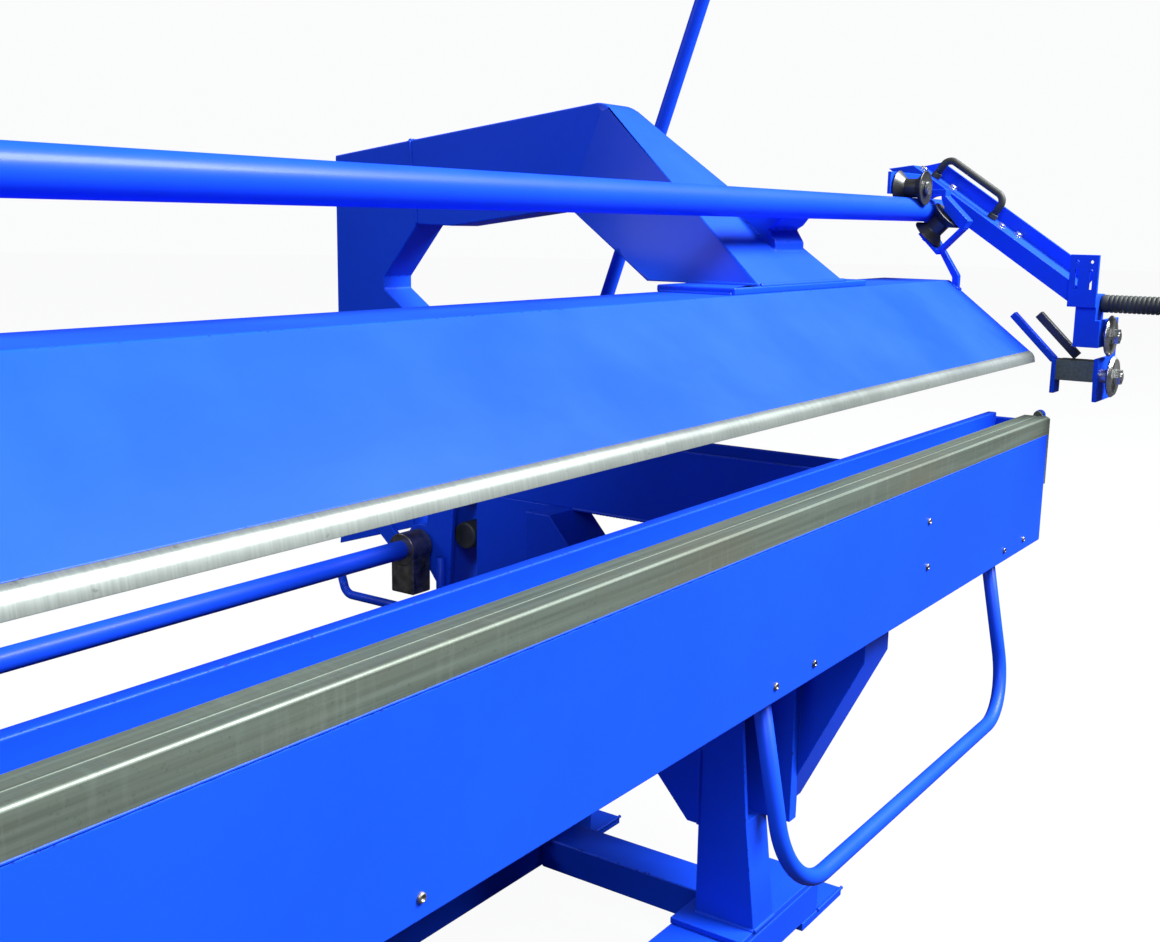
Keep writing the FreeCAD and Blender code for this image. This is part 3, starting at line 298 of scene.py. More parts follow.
def grease_film(look):
    """Dark greased steel, used on the blocks on the shaft and on the apron's bolts."""
    paint = Paint("greased_steel")
    smear = paint.noise(60.0, 5.0)
    base = paint.mix(smear.band(0.35, 0.7), (0.10, 0.10, 0.095), (0.26, 0.25, 0.23))
    rough = smear.band(0.3, 0.7, 0.22, 0.45)
    return paint.surface(base_color=base, roughness=rough, metallic=0.85,
                         normal=paint.bump(smear, 0.0001, 0.4))


FINISH_MAKERS = {
    "blue_paint": blue_enamel,
    "bar_steel": bar_steel,
    "blade_steel": blade_steel,
    "zinc_steel": zinc_steel,
    "black_rubber": black_rubber,
    "black_plastic": black_plastic,
}


# Mesh tools

def merged(node):
    """A copy of a CAD node with its loose triangles joined into flat faces."""
    bm = bmesh.new()
    bm.from_mesh(NODES[node].data)
    bmesh.ops.remove_doubles(bm, verts=bm.verts[:], dist=2e-6)
    bmesh.ops.dissolve_degenerate(bm, dist=2e-6, edges=bm.edges[:])
    bmesh.ops.dissolve_limit(bm, angle_limit=math.radians(0.4), use_dissolve_boundaries=False,
                             verts=bm.verts[:], edges=bm.edges[:], delimit=set())
    return bm


def sharp_edges(bm, least=28.0):
    """Edges where two faces meet at more than an angle."""
    limit = math.radians(least)
    return [edge for edge in bm.edges
            if len(edge.link_faces) == 2 and edge.calc_face_angle(0.0) > limit]


def soften(bm, width, segments=2, edges=None):
    """Round the sharp edges and mark the new faces, so that a finish can wear there and carry a
    painted highlight.
    """
    layer = bm.faces.layers.float.get("edge") or bm.faces.layers.float.new("edge")
    chosen = sharp_edges(bm) if edges is None else edges
    if not chosen:
        return
    made = bmesh.ops.bevel(bm, geom=chosen, offset=width, offset_type="OFFSET", affect="EDGES",
                           segments=segments, profile=0.5, material=-1, clamp_overlap=False)
    for face in made["faces"]:
        if face.is_valid:
            face[layer] = 1.0


def finished(bm, name, body, slot, replaced=(), material=None):
    """Turn a bmesh into a piece that rides on a body and has a finish."""
    mesh = bpy.data.meshes.new(name)
    for face in bm.faces:
        face.smooth = True
    bm.to_mesh(mesh)
    bm.free()
    piece = bpy.data.objects.new(name, mesh)
    bpy.context.scene.collection.objects.link(piece)
    normals = piece.modifiers.new("flat_faces", "WEIGHTED_NORMAL")
    normals.weight = 100
    normals.keep_sharp = True
    mesh.materials.append(material or finishes[slot])
    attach(piece, body)
    if replaced:
        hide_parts(*replaced)
    return piece


def dress(node, width, segments=2, shape=None):
    """Stand a copy with rounded edges in for a CAD node."""
    bm = merged(node)
    if shape:
        shape(bm)
    soften(bm, width, segments)
    return finished(bm, node + "_surface", NODES[node]["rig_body"], SLOT_OF[node], [node])


def rod(bm, start, end, radius, segments=48, rim=0.0, radius_end=None):
    """A round bar between two points, with rounded rims."""
    start, end = Vector(start), Vector(end)
    line = end - start
    turn = line.to_track_quat("Z", "Y").to_matrix().to_4x4()
    made = bmesh.ops.create_cone(bm, cap_ends=True, segments=segments, radius1=radius,
                                 radius2=radius if radius_end is None else radius_end,
                                 depth=line.length,
                                 matrix=Matrix.Translation((start + end) / 2) @ turn)
    if rim:
        points = set(made["verts"])
        rims = [edge for edge in bm.edges if edge.verts[0] in points
                and any(len(face.verts) > 4 for face in edge.link_faces)]
        soften(bm, rim, 3, rims)


def ring_of(bm, centre, direction, radius, segments):
    """A circle of edges round a line."""
    turn = Vector(direction).to_track_quat("Z", "Y").to_matrix().to_4x4()
    made = bmesh.ops.create_circle(bm, cap_ends=False, segments=segments, radius=radius,
                                   matrix=Matrix.Translation(centre) @ turn)
    points = set(made["verts"])
    return [edge for edge in bm.edges if edge.verts[0] in points and edge.verts[1] in points]


def bent_bar(bm, start, direction, radius, steps, segments=32):
    """A round bar that follows runs and bends from a start."""
    place, heading = Vector(start), Vector(direction).normalized()
    ring = ring_of(bm, place, heading, radius, segments)
    bmesh.ops.contextual_create(bm, geom=ring)
    for step in steps:
        if step[0] == "run":
            made = bmesh.ops.extrude_edge_only(bm, edges=ring)["geom"]
            ring = [item for item in made if isinstance(item, bmesh.types.BMEdge)]
            points = {point for edge in ring for point in edge.verts}
            bmesh.ops.translate(bm, verts=list(points), vec=heading * step[1])
            place = place + heading * step[1]
        else:
            bend, axis, angle = step[1], Vector(step[2]).normalized(), math.radians(step[3])
            centre = place + axis.cross(heading).normalized() * bend
            made = bmesh.ops.spin(bm, geom=ring, cent=centre, axis=axis, angle=angle,
                                  steps=max(6, int(abs(step[3]) / 6)), use_duplicate=False)
            ring = [item for item in made["geom_last"] if isinstance(item, bmesh.types.BMEdge)]
            turn = Matrix.Rotation(angle, 3, axis)
            place = centre + turn @ (place - centre)
            heading = turn @ heading
    bmesh.ops.contextual_create(bm, geom=ring)
    bmesh.ops.recalc_face_normals(bm, faces=bm.faces[:])
    return place


def turned(bm, profile, start, direction, segments=64):
    """Spin a profile of (distance along, radius) about a line."""
    start = Vector(start)
    turn = Vector(direction).to_track_quat("Z", "Y").to_matrix()
    points = [bm.verts.new(start + turn @ Vector((radius, 0.0, along)))
              for along, radius in profile]
    edges = [bm.edges.new(pair) for pair in zip(points, points[1:])]
    bmesh.ops.spin(bm, geom=edges + points, cent=start, axis=turn @ Vector((0, 0, 1)),
                   angle=math.tau, steps=segments, use_merge=True, use_duplicate=False)
    bmesh.ops.remove_doubles(bm, verts=bm.verts[:], dist=1e-6)
    bmesh.ops.recalc_face_normals(bm, faces=bm.faces[:])


def hexagon(bm, seat, direction, flats, height, washer=0.0):
    """A hexagon head with a chamfered top, standing on a washer."""
    seat, direction = Vector(seat), Vector(direction).normalized()
    if washer:
        rod(bm, seat, seat + direction * 0.0016, washer, 32, 0.0004)
        seat = seat + direction * 0.0016
    top = seat + direction * height
    rod(bm, seat, top, flats / math.sqrt(3), 6, 0.0007)
    rod(bm, top - direction * 0.0004, top + direction * 0.0005, flats * 0.42, 24, 0.0002)


def bead(bm, points, radius, pitch=0.0032):
    """A weld bead: a low rippled bar through points."""
    points = [Vector(point) for point in points]
    for start, end in zip(points, points[1:]):
        line = end - start
        count = max(2, int(line.length / pitch))
        heading = line.normalized()
        ring = ring_of(bm, start, heading, radius, 8)
        bmesh.ops.contextual_create(bm, geom=ring)
        for i in range(count):
            made = bmesh.ops.extrude_edge_only(bm, edges=ring)["geom"]
            ring = [item for item in made if isinstance(item, bmesh.types.BMEdge)]
            verts = list({point for edge in ring for point in edge.verts})
            bmesh.ops.translate(bm, verts=verts, vec=line / count)
            size = 1.24 if i % 2 == 0 else 1 / 1.24
            centre = start + line * ((i + 1) / count)
            bmesh.ops.scale(bm, verts=verts, vec=(size,) * 3, space=Matrix.Translation(-centre))
        bmesh.ops.contextual_create(bm, geom=ring)


def bar_axis(low, high):
    """The Y and Z of the axis and the radius of a round bar along X, from its box."""
    return (low.y + high.y) / 2, (low.z + high.z) / 2, (high.y - low.y) / 2


def both_sides(bm):
    """Add the left-hand mirror image of what is there."""
    bmesh.ops.mirror(bm, geom=bm.verts[:] + bm.edges[:] + bm.faces[:],
                     matrix=Matrix.Identity(4), merge_dist=-1.0, axis="X")
    bmesh.ops.recalc_face_normals(bm, faces=bm.faces[:])


# Sizes and colours

class FolderLooks(PropertyGroup):
    """Sizes and colours of the sheet metal folder."""

    edge: FloatProperty(name="Edge radius", description="Rounding of cut plate edges",
                        default=0.0016, unit="LENGTH")
    peak_radius: FloatProperty(name="Peak rounding", default=0.016, unit="LENGTH",
                               description="Rounding of the bend on each clamp arm")
    bead: FloatProperty(name="Weld bead", description="Radius of a weld bead",
                        default=0.0032, unit="LENGTH")
    tube_sides: IntProperty(name="Tube sides", description="Faces round a large tube", default=64)
    blue: FloatVectorProperty(name="Blue enamel", description="Colour of the painted steel",
                              size=3, subtype="COLOR", default=(0.004, 0.046, 0.600))
    primer: FloatVectorProperty(name="Primer", description="Colour under chipped paint",
                                size=3, subtype="COLOR", default=(0.004, 0.012, 0.080))
    dust_colour: FloatVectorProperty(name="Dust", description="Colour of dust on upper faces",
                                     size=3, subtype="COLOR", default=(0.014, 0.125, 0.640))
    dust: FloatProperty(name="Dust amount", description="How much dust lies on upper faces",
                        default=0.14)
    bar: FloatVectorProperty(name="Bar steel", description="Colour of the ground bars",
                             size=3, subtype="COLOR", default=(0.092, 0.118, 0.100))
    brown: FloatVectorProperty(name="Bar tarnish", description="Brown tarnish on the bars",
                               size=3, subtype="COLOR", default=(0.080, 0.072, 0.050))
    blade: FloatVectorProperty(name="Blade steel", description="Colour of the clamping blade",
                               size=3, subtype="COLOR", default=(0.205, 0.235, 0.225))
    zinc: FloatVectorProperty(name="Zinc", description="Colour of bolts and knives",
                              size=3, subtype="COLOR", default=(0.56, 0.58, 0.58))
    rubber: FloatVectorProperty(name="Rubber", description="Colour of the grips",
                                size=3, subtype="COLOR", default=(0.016, 0.020, 0.019))
    plastic: FloatVectorProperty(name="Plastic", description="Colour of the rollers",
                                 size=3, subtype="COLOR", default=(0.014, 0.016, 0.017))
    sky: FloatProperty(name="Sky", description="Strength of the soft light from all round",
                       default=0.13)
    mirrored_sky: FloatProperty(name="Mirrored sky", default=0.07,
                                description="How bright that light is in reflections")
    floor_glow: FloatProperty(name="Floor glow", default=0.955,
                              description="How much of the floor glows for the camera")
    lens: FloatProperty(name="Lens", default=41.06,
                        description="Focal length for a 36 mm film width")
    view_turn: FloatProperty(name="View turn", description="Turn of the view from straight ahead",
                             default=math.radians(54.905), subtype="ANGLE")
    view_tilt: FloatProperty(name="View tilt", description="Tilt of the view below the horizon",
                             default=math.radians(10.682), subtype="ANGLE")
    view_roll: FloatProperty(name="View roll", description="Roll of the camera",
                             default=math.radians(0.94), subtype="ANGLE")


def looks():
    return bpy.context.scene.folder_looks


class FOLDER_OT_finishes(Operator):
    """Make the finishes and put them on the CAD nodes"""
    bl_idname = "folder.finishes"
    bl_label = "Finishes"

    def execute(self, context):
        for slot, maker in FINISH_MAKERS.items():
            finishes[slot] = maker(looks())
        finishes["grease"] = grease_film(looks())
        for name, node in NODES.items():
            node.data.materials.clear()
            node.data.materials.append(finishes[SLOT_OF[name]])
        return {"FINISHED"}


class FOLDER_OT_stand(Operator):
    """Round the edges of the stands, their base and the lower arms"""
    bl_idname = "folder.stand"
    bl_label = "Stand"

    def execute(self, context):
        edge = looks().edge
        for node in ("front_base_beam", "rear_base_beam", "base_ties"):
            dress(node, edge * 2.5, 3)
        dress("anchor_plates", edge)
        for side in ("right_", "left_"):
            for part in ("front_leg", "brace", "rear_leg", "lower_arm", "shaft_bracket"):
                dress(side + part, edge)
        return {"FINISHED"}


class FOLDER_OT_beams(Operator):
    """Round the edges of the lower beam, its bar and the bending beam"""
    bl_idname = "folder.beams"
    bl_label = "Beams"

    def execute(self, context):
        edge = looks().edge
        dress("lower_beam", edge * 1.4, 3)
        dress("lower_jaw_bar", edge * 0.5)
        dress("apron", edge * 1.6, 3)
        dress("apron_bar", edge * 0.5)
        for side in ("right_", "left_"):
            dress(side + "hinge_bracket", edge * 0.7)
            dress(side + "hinge_cheek", edge * 0.7)
        return {"FINISHED"}


class FOLDER_OT_bow_handles(Operator):
    """Bend the two bow handles under the apron"""
    bl_idname = "folder.bow_handles"
    bl_label = "Bow handles"

    def execute(self, context):
        for side in ("right_", "left_"):
            low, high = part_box(side + "bow_handle")
            radius, bend, foot, flange, foot_y = 0.011, 0.100, 0.006, 0.005, 0.016
            middle, half = (low.x + high.x) / 2, (high.x - low.x) / 2 - (radius + flange)
            lean = math.radians(11)
            down = Vector((0, -math.sin(lean), -math.cos(lean)))
            axis = Vector((0, -math.cos(lean), math.sin(lean)))
            start = Vector((middle - half, 0.017, high.z - foot / 2))
            drop = 0.264
            bm = bmesh.new()
            bent_bar(bm, start, down, radius, [
                ("run", drop - bend), ("bend", bend, axis, 90),
                ("run", 2 * half - 2 * bend), ("bend", bend, axis, 90),
                ("run", drop - bend - foot / 2)])
            for sign in (-1, 1):
                x = middle + sign * half
                rod(bm, (x, foot_y, high.z), (x, foot_y, high.z - foot), radius + flange, 40,
                    0.0018)
            finished(bm, side + "bow_handle_surface", "bending_beam", "blue_paint",
                     [side + "bow_handle"])
        return {"FINISHED"}


def outer_shell(bm):
    """Drop the closed hollow inside a box section, which never shows."""
    left, shells = set(bm.verts), []
    while left:
        shell, waiting = set(), [next(iter(left))]
        while waiting:
            vert = waiting.pop()
            if vert not in shell:
                shell.add(vert)
                waiting += [edge.other_vert(vert) for edge in vert.link_edges]
        left -= shell
        shells.append(shell)
    reach = [max(v.co.y for v in shell) - min(v.co.y for v in shell) for shell in shells]
    outer = shells[reach.index(max(reach))]
    bmesh.ops.delete(bm, geom=[vert for vert in bm.verts if vert not in outer], context="VERTS")


def shortened(bm):
    """Leave 0.8 mm of room between each end of the blade and its hinge cheek."""
    share_of_length = 0.9994
    bmesh.ops.scale(bm, vec=(share_of_length, 1.0, 1.0), verts=bm.verts[:])


def round_peak(bm):
    """Keep the clamp arm's outside alone, and bend its top and elbow smoothly."""
    outer_shell(bm)
    near, long_enough = 0.002, 0.06
    peak, elbow = (0.515, 1.310), (0.578, 1.149)
    for (y, z), radius in ((peak, looks().peak_radius), (elbow, looks().peak_radius * 0.5)):
        edges = [edge for edge in bm.edges
                 if all(abs(v.co.y - y) < near and abs(v.co.z - z) < near for v in edge.verts)
                 and abs(edge.verts[0].co.x - edge.verts[1].co.x) > long_enough]
        if edges:
            bmesh.ops.bevel(bm, geom=edges, offset=radius, offset_type="OFFSET",
                            affect="EDGES", segments=6, profile=0.5, material=-1,
                            clamp_overlap=False)


class FOLDER_OT_upper_jaw(Operator):
    """Round the edges of the cover, blade, clamp arms, rear posts and tails"""
    bl_idname = "folder.upper_jaw"
    bl_label = "Upper jaw"

    def execute(self, context):
        edge = looks().edge
        dress("clamp_cover", edge * 1.2, 3)
        dress("clamp_blade", edge * 0.4, shape=shortened)
        dress("rail_struts", edge * 0.8)
        for side in ("right_", "left_"):
            dress(side + "clamp_arm", edge * 1.6, 3, round_peak)
            dress(side + "rear_post", edge * 1.6, 3)
            dress(side + "jaw_tail", edge)
        return {"FINISHED"}


class FOLDER_OT_guide_rail(Operator):
    """Turn the guide rail with its end plugs"""
    bl_idname = "folder.guide_rail"
    bl_label = "Guide rail"

    def execute(self, context):
        low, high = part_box("guide_rail")
        y, z, radius = bar_axis(low, high)
        plug = 0.002
        bm = bmesh.new()
        rod(bm, (low.x + plug, y, z), (high.x - plug, y, z), radius, looks().tube_sides, 0.0012)
        finished(bm, "guide_rail_surface", "upper_jaw", "blue_paint", ["guide_rail"])
        bm = bmesh.new()
        turned(bm, [(0.0, radius - 0.002), (0.0012, radius - 0.003), (0.0019, 0.010),
                    (0.0019, CENTRE)], (high.x - plug, y, z), (1, 0, 0))
        both_sides(bm)
        finished(bm, "rail_end_plugs", "upper_jaw", "black_plastic")
        return {"FINISHED"}


class FOLDER_OT_linkage(Operator):
    """Turn the clamping shaft, round its cranks and links, and add its stops and blocks"""
    bl_idname = "folder.linkage"
    bl_label = "Clamping linkage"

    def execute(self, context):
        low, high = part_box("torsion_shaft")
        y, z, radius = bar_axis(low, high)
        bm = bmesh.new()
        rod(bm, (low.x, y, z), (high.x, y, z), radius, looks().tube_sides, 0.0015)
        finished(bm, "torsion_shaft_surface", "clamping_shaft", "blue_paint", ["torsion_shaft"])
        for side in ("right_", "left_"):
            dress(side + "crank", looks().edge * 0.8)
            dress(side + "link", looks().edge * 0.8)
        self.stops()
        self.shaft_blocks(y, z)
        return {"FINISHED"}

    def stops(self):
        """A bent stop rod on each shaft bracket, and a rubber buffer before its cross bar."""
        bm = bmesh.new()
        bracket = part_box("right_shaft_bracket")[0]
        radius, bend = 0.008, 0.022
        bent_bar(bm, (bracket.x - radius + 0.0005, 0.822, 0.545), (0, 0, -1), radius, [
            ("run", 0.085), ("bend", bend, (1, 0, 0), 90), ("run", 0.195),
            ("bend", bend, (1, 0, 0), 72), ("run", 0.018)], 28)
        both_sides(bm)
        finished(bm, "stop_rods", "frame", "blue_paint")
        bm = bmesh.new()
        y, z, half = 0.788, 0.585, 0.044
        rod(bm, (ARM_X - half, y, z), (ARM_X + half, y, z), 0.0238, 48, 0.004)
        both_sides(bm)
        finished(bm, "rubber_buffers", "frame", "black_rubber")

    def shaft_blocks(self, y, z):
        """A greased block clamped on the shaft beside each bracket."""
        middle, size = 0.661, (0.046, 0.052, 0.078)
        bm = bmesh.new()
        rod(bm, (0.636, y, z), (0.686, y, z), 0.029, 56, 0.002)
        made = bmesh.ops.create_cube(bm, size=1.0,
                                     matrix=Matrix.Translation((middle, y, z - 0.040))
                                     @ Matrix.Diagonal((*size, 1.0)))
        corners = set(made["verts"])
        soften(bm, 0.003, 3, [edge for edge in bm.edges if edge.verts[0] in corners])
        hexagon(bm, (middle, y + 0.026, z - 0.060), (0, 1, 0), 0.013, 0.007, 0.0095)
        both_sides(bm)
        finished(bm, "shaft_blocks", "clamping_shaft", "zinc_steel", (), finishes["grease"])


class FOLDER_OT_lever(Operator):
    """Turn the clamp lever, its hub and its ribbed grip"""
    bl_idname = "folder.lever"
    bl_label = "Clamp lever"

    def execute(self, context):
        lean, length, grip = math.radians(19.9), 1.200, 0.130
        up = Vector((0, -math.sin(lean), math.cos(lean)))
        base = Vector(LEVER_HUB)
        side, across = Vector((0.022, 0, 0)), up.cross(Vector((1, 0, 0)))
        bm = bmesh.new()
        rod(bm, base - side, base + side, HUB_RADIUS, 56, 0.002)
        rod(bm, base + up * 0.020, base + up * (length - 0.002), 0.0125, 48, 0.001)
        weld_radius = 0.013
        angles = [math.tau * k / 16 for k in range(17)]
        bead(bm, [base + up * 0.0262 + Vector((weld_radius * math.cos(a), 0, 0))
                  + across * weld_radius * math.sin(a) for a in angles], looks().bead * 0.8)
        finished(bm, "clamp_lever_surface", "clamping_shaft", "blue_paint", ["clamp_lever"])
        bm = bmesh.new()
        profile = [(0.0, 0.0127), (0.0, 0.0150), (0.001, 0.0158)]
        for k in range(20):
            at = 0.008 + k * 0.0056
            profile += [(at, 0.0159), (at + 0.0008, 0.0149), (at + 0.0020, 0.0149),
                        (at + 0.0028, 0.0159)]
        profile += [(grip, 0.0159), (grip + 0.004, 0.0148), (grip + 0.0058, 0.011),
                    (grip + 0.006, CENTRE)]
        turned(bm, profile, base + up * (length - grip), up, 48)
        finished(bm, "lever_grip_surface", "clamping_shaft", "black_rubber", ["lever_grip"])
        return {"FINISHED"}


class FOLDER_OT_cutter(Operator):
    """Round the cutter's plates and turn its rollers, knives, handle and grip"""
    bl_idname = "folder.cutter"
    bl_label = "Cutter"

    def execute(self, context):
        edge = looks().edge
        for node in ("cutter_arm", "front_yoke", "slot_plate", "knife_frame", "guide_block",
                     "guide_fork", "stop_bar"):
            dress(node, edge * 0.6)
        self.handle()
        self.grip()
        self.rollers()
        self.knives()
        return {"FINISHED"}

    def handle(self):
        along, up = CUTTER_ALONG, CUTTER_UP
        foot = CUTTER_FOOT + along * 0.270 + up * CUTTER_WEB
        bm = bmesh.new()
        half, rise, bend, radius = 0.0655, 0.042, 0.016, 0.0065
        axis = along.cross(up)
        bent_bar(bm, foot - along * half, up, radius, [
            ("run", rise - bend), ("bend", bend, -axis, 90), ("run", 2 * half - 2 * bend),
            ("bend", bend, -axis, 90), ("run", rise - bend)], 24)
        for sign in (-1, 1):
            base = foot + along * (sign * half)
            rod(bm, base, base + up * 0.010, 0.0092, 28, 0.0018, 0.0078)
        finished(bm, "carry_handle_surface", "cutter", "black_rubber", ["carry_handle"])

    def grip(self):
        low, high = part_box("push_grip")
        x, z, radius = (low.x + high.x) / 2, (low.z + high.z) / 2, (high.x - low.x) / 2
        length, skin, groove, pitch = high.y - low.y, radius - 0.0001, radius - 0.0014, 0.0075
        profile = [(0.0, CENTRE), (0.0, radius - 0.003), (0.002, radius - 0.0006), (0.005, skin)]
        for k in range(int((length - 0.030) / pitch)):
            at = 0.012 + k * pitch
            profile += [(at, skin), (at + 0.0010, groove), (at + 0.0026, groove),
                        (at + 0.0036, skin)]
        profile += [(length - 0.004, skin), (length - 0.001, radius - 0.002),
                    (length, radius - 0.005), (length, CENTRE)]
        bm = bmesh.new()
        turned(bm, profile, (x, high.y, z), (0, -1, 0), 48)
        finished(bm, "push_grip_surface", "cutter", "black_rubber", ["push_grip"])

    def rollers(self):
        half, waist, flange, bore, hub = 0.025, 0.016, 0.030, 0.0062, 0.012
        profile = [(-half, bore), (-half, hub), (-half + 0.0015, 0.0125),
                   (-half + 0.0015, flange - 0.004), (-half, flange - 0.003),
                   (-half + 0.0004, flange - 0.0008), (-half + 0.002, flange - 0.0004),
                   (-0.011, waist + 0.0008), (-0.009, waist + 0.0002),
                   (0.009, waist + 0.0002), (0.011, waist + 0.0008),
                   (half - 0.002, flange - 0.0004), (half - 0.0004, flange - 0.0008),
                   (half, flange - 0.003), (half - 0.0015, flange - 0.004),
                   (half - 0.0015, 0.0125), (half, hub), (half, bore), (-half, bore)]
        down = math.sqrt(0.5)
        for node, axis in (("top_roller", (0, 1, 0)), ("front_roller", (0, down, -down))):
            low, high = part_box(node)
            bm = bmesh.new()
            turned(bm, profile, (low + high) / 2, axis)
            finished(bm, node + "_surface", node, "black_plastic", [node])

    def knives(self):
        half, web, bore, cutting_edge = 0.0045, 0.0038, 0.0082, 0.03595
        profile = [(-half, bore), (-half, 0.015), (-web, 0.0156), (-web, 0.029), (-half, 0.0296),
                   (-half, 0.032), (0.0, cutting_edge), (0.0015, cutting_edge), (half, 0.032),
                   (half, 0.0296), (web, 0.029), (web, 0.0156), (half, 0.015), (half, bore),
                   (-half, bore)]
        for node in ("upper_knife", "lower_knife"):
            low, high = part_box(node)
            bm = bmesh.new()
            turned(bm, profile, (low + high) / 2, (0, 1, 0), 96)
            finished(bm, node + "_surface", node, "zinc_steel", [node])


class FOLDER_OT_fasteners(Operator):
    """Add washers, bolts, retaining rings and grease nipples"""
    bl_idname = "folder.fasteners"
    bl_label = "Fasteners"

    def execute(self, context):
        self.pivots()
        self.bracket_bolts()
        self.apron_bolts()
        self.cutter_bolts()
        return {"FINISHED"}

    def pivots(self):
        low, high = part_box("right_pivot_pin")
        y, z, radius = bar_axis(low, high)
        washer, ring, nipple = radius + 0.012, radius + 0.004, 0.0045
        bm = bmesh.new()
        rod(bm, (low.x, y, z), (high.x, y, z), radius, 56, 0.0015)
        for x, sign in ((low.x, 1), (high.x, -1)):
            rod(bm, (x + sign * 0.0118, y, z), (x + sign * 0.0088, y, z), washer, 48, 0.0006)
            rod(bm, (x + sign * 0.0060, y, z), (x + sign * 0.0042, y, z), ring, 40, 0.0004)
            rod(bm, (x - sign * 0.0001, y, z), (x + sign * 0.0010, y, z), nipple, 24)
        both_sides(bm)
        finished(bm, "pivot_pins_surface", "frame", "zinc_steel",
                 ["right_pivot_pin", "left_pivot_pin"])

    def bracket_bolts(self):
        small, large = (0.013, 0.006, 0.0095), (0.016, 0.0065, 0.0118)  # flats, height, washer
        bm = bmesh.new()
        for x, sign in ((0.6895, -1), (0.8105, 1)):
            for y, z in ((0.811, 0.724), (0.809, 0.692)):
                hexagon(bm, (x, y, z), (sign, 0, 0), *small)
        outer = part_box("right_hinge_bracket")[1].x
        for y, z in ((0.035, 0.715), (0.072, 0.715), (0.072, 0.778)):
            hexagon(bm, (outer, y, z), (1, 0, 0), *large)
        rod(bm, (outer - 0.001, 0, TABLE), (outer + 0.0005, 0, TABLE), 0.0085, 32, 0.0003)
        both_sides(bm)
        finished(bm, "bracket_bolts", "frame", "zinc_steel")
        bm = bmesh.new()
        x, y, z = LEVER_HUB
        hexagon(bm, (x, y + HUB_RADIUS, z), (0, 1, 0), 0.010, 0.006)
        finished(bm, "hub_screw", "clamping_shaft", "zinc_steel")

    def apron_bolts(self):
        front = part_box("apron")[0].y
        bm = bmesh.new()
        places = [(0.770, 0.717), (0.774, 0.649)]
        clip_half, clip_shift, clip_spread = 0.412, 0.017, 0.051
        places += [(ARM_X + sign * clip_half + clip_shift + step, 0.604)
                   for sign in (-1, 1) for step in (-clip_spread, clip_spread)]
        socket_head = [(0.0, 0.0049), (0.0016, 0.0048), (0.0027, 0.0038), (0.0029, 0.0026),
                       (0.0012, 0.0024), (0.0010, CENTRE)]
        for x, z in places:
            turned(bm, socket_head, (x, front, z), (0, -1, 0), 32)
        both_sides(bm)
        finished(bm, "apron_bolts_surface", "bending_beam", "zinc_steel", ["apron_bolts"],
                 finishes["grease"])

    def cutter_bolts(self):
        foot = CUTTER_FOOT + CUTTER_UP * CUTTER_WEB
        flats, height, washer = 0.0115, 0.0042, 0.0085
        bm = bmesh.new()
        for reach, step in ((0.358, -0.012), (0.300, 0.012), (0.178, -0.012), (0.150, 0.014)):
            seat = foot + CUTTER_ALONG * reach + Vector((step, 0, 0))
            hexagon(bm, seat, CUTTER_UP, flats, height, washer)
        finished(bm, "cutter_bolts_surface", "cutter", "zinc_steel", ["cutter_bolts"])


class FOLDER_OT_weld_seams(Operator):
    """Lay weld beads where the plates meet"""
    bl_idname = "folder.weld_seams"
    bl_label = "Weld seams"

    def execute(self, context):
        size = looks().bead
        self.jaw(size)
        self.stand(size)
        self.beam(size)
        return {"FINISHED"}

    def jaw(self, size):
        bm = bmesh.new()
        back, front = 0.296, 0.182
        for near, far, height, share in ((0.6125, 0.8875, 1.045, 1.0), (0.535, 0.965, 1.0355, 0.9)):
            bead(bm, [(near, back, height), (near, front, height), (far, front, height),
                      (far, back, height)], size * share)
        low, high = (0.901, 1.119), (0.917, 1.260)
        bead(bm, [(0.714, *low), (0.714, *high), (0.786, *high), (0.786, *low)], size * 0.8)
        low, high = (0.153, 1.0195), (0.167, 1.0298)
        bead(bm, [(1.316, *low), (1.316, *high), (1.328, *high), (1.328, *low), (1.316, *low)],
             size * 0.7)
        both_sides(bm)
        finished(bm, "jaw_weld_seams", "upper_jaw", "blue_paint")

    def stand(self, size):
        bm = bmesh.new()
        foot = 0.080
        bead(bm, [(0.635, 0.160, foot), (0.700, 0.160, foot), (0.700, 0.262, foot),
                  (0.635, 0.262, foot), (0.635, 0.160, foot)], size)
        bead(bm, [(0.700, 0.180, 0.249), (0.700, 0.262, 0.249)], size * 0.7)
        base = 0.070
        bead(bm, [(0.6995, 0.600, base), (0.8005, 0.600, base), (0.8005, 0.755, base),
                  (0.6995, 0.755, base), (0.6995, 0.600, base)], size)
        for y in (0.160, 0.284, 0.6155, 0.7395):
            bead(bm, [(0.865, y, 0.014), (0.960, y, 0.014)], size * 0.8)
        bead(bm, [(0.635, 0.262, 0.225), (0.635, 0.262, 0.345)], size * 0.8)
        bead(bm, [(0.6995, 0.262, 0.667), (0.6995, 0.552, 0.667)], size * 0.8)
        both_sides(bm)
        finished(bm, "stand_weld_seams", "frame", "blue_paint")

    def beam(self, size):
        bm = bmesh.new()
        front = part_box("apron")[0].y
        y, z, reach = front + 0.0006, 0.773, 1.329
        bead(bm, [(-reach, y, z), (reach, y, z)], size * 0.35, 0.012)
        finished(bm, "apron_bar_seam", "bending_beam", "blue_paint")


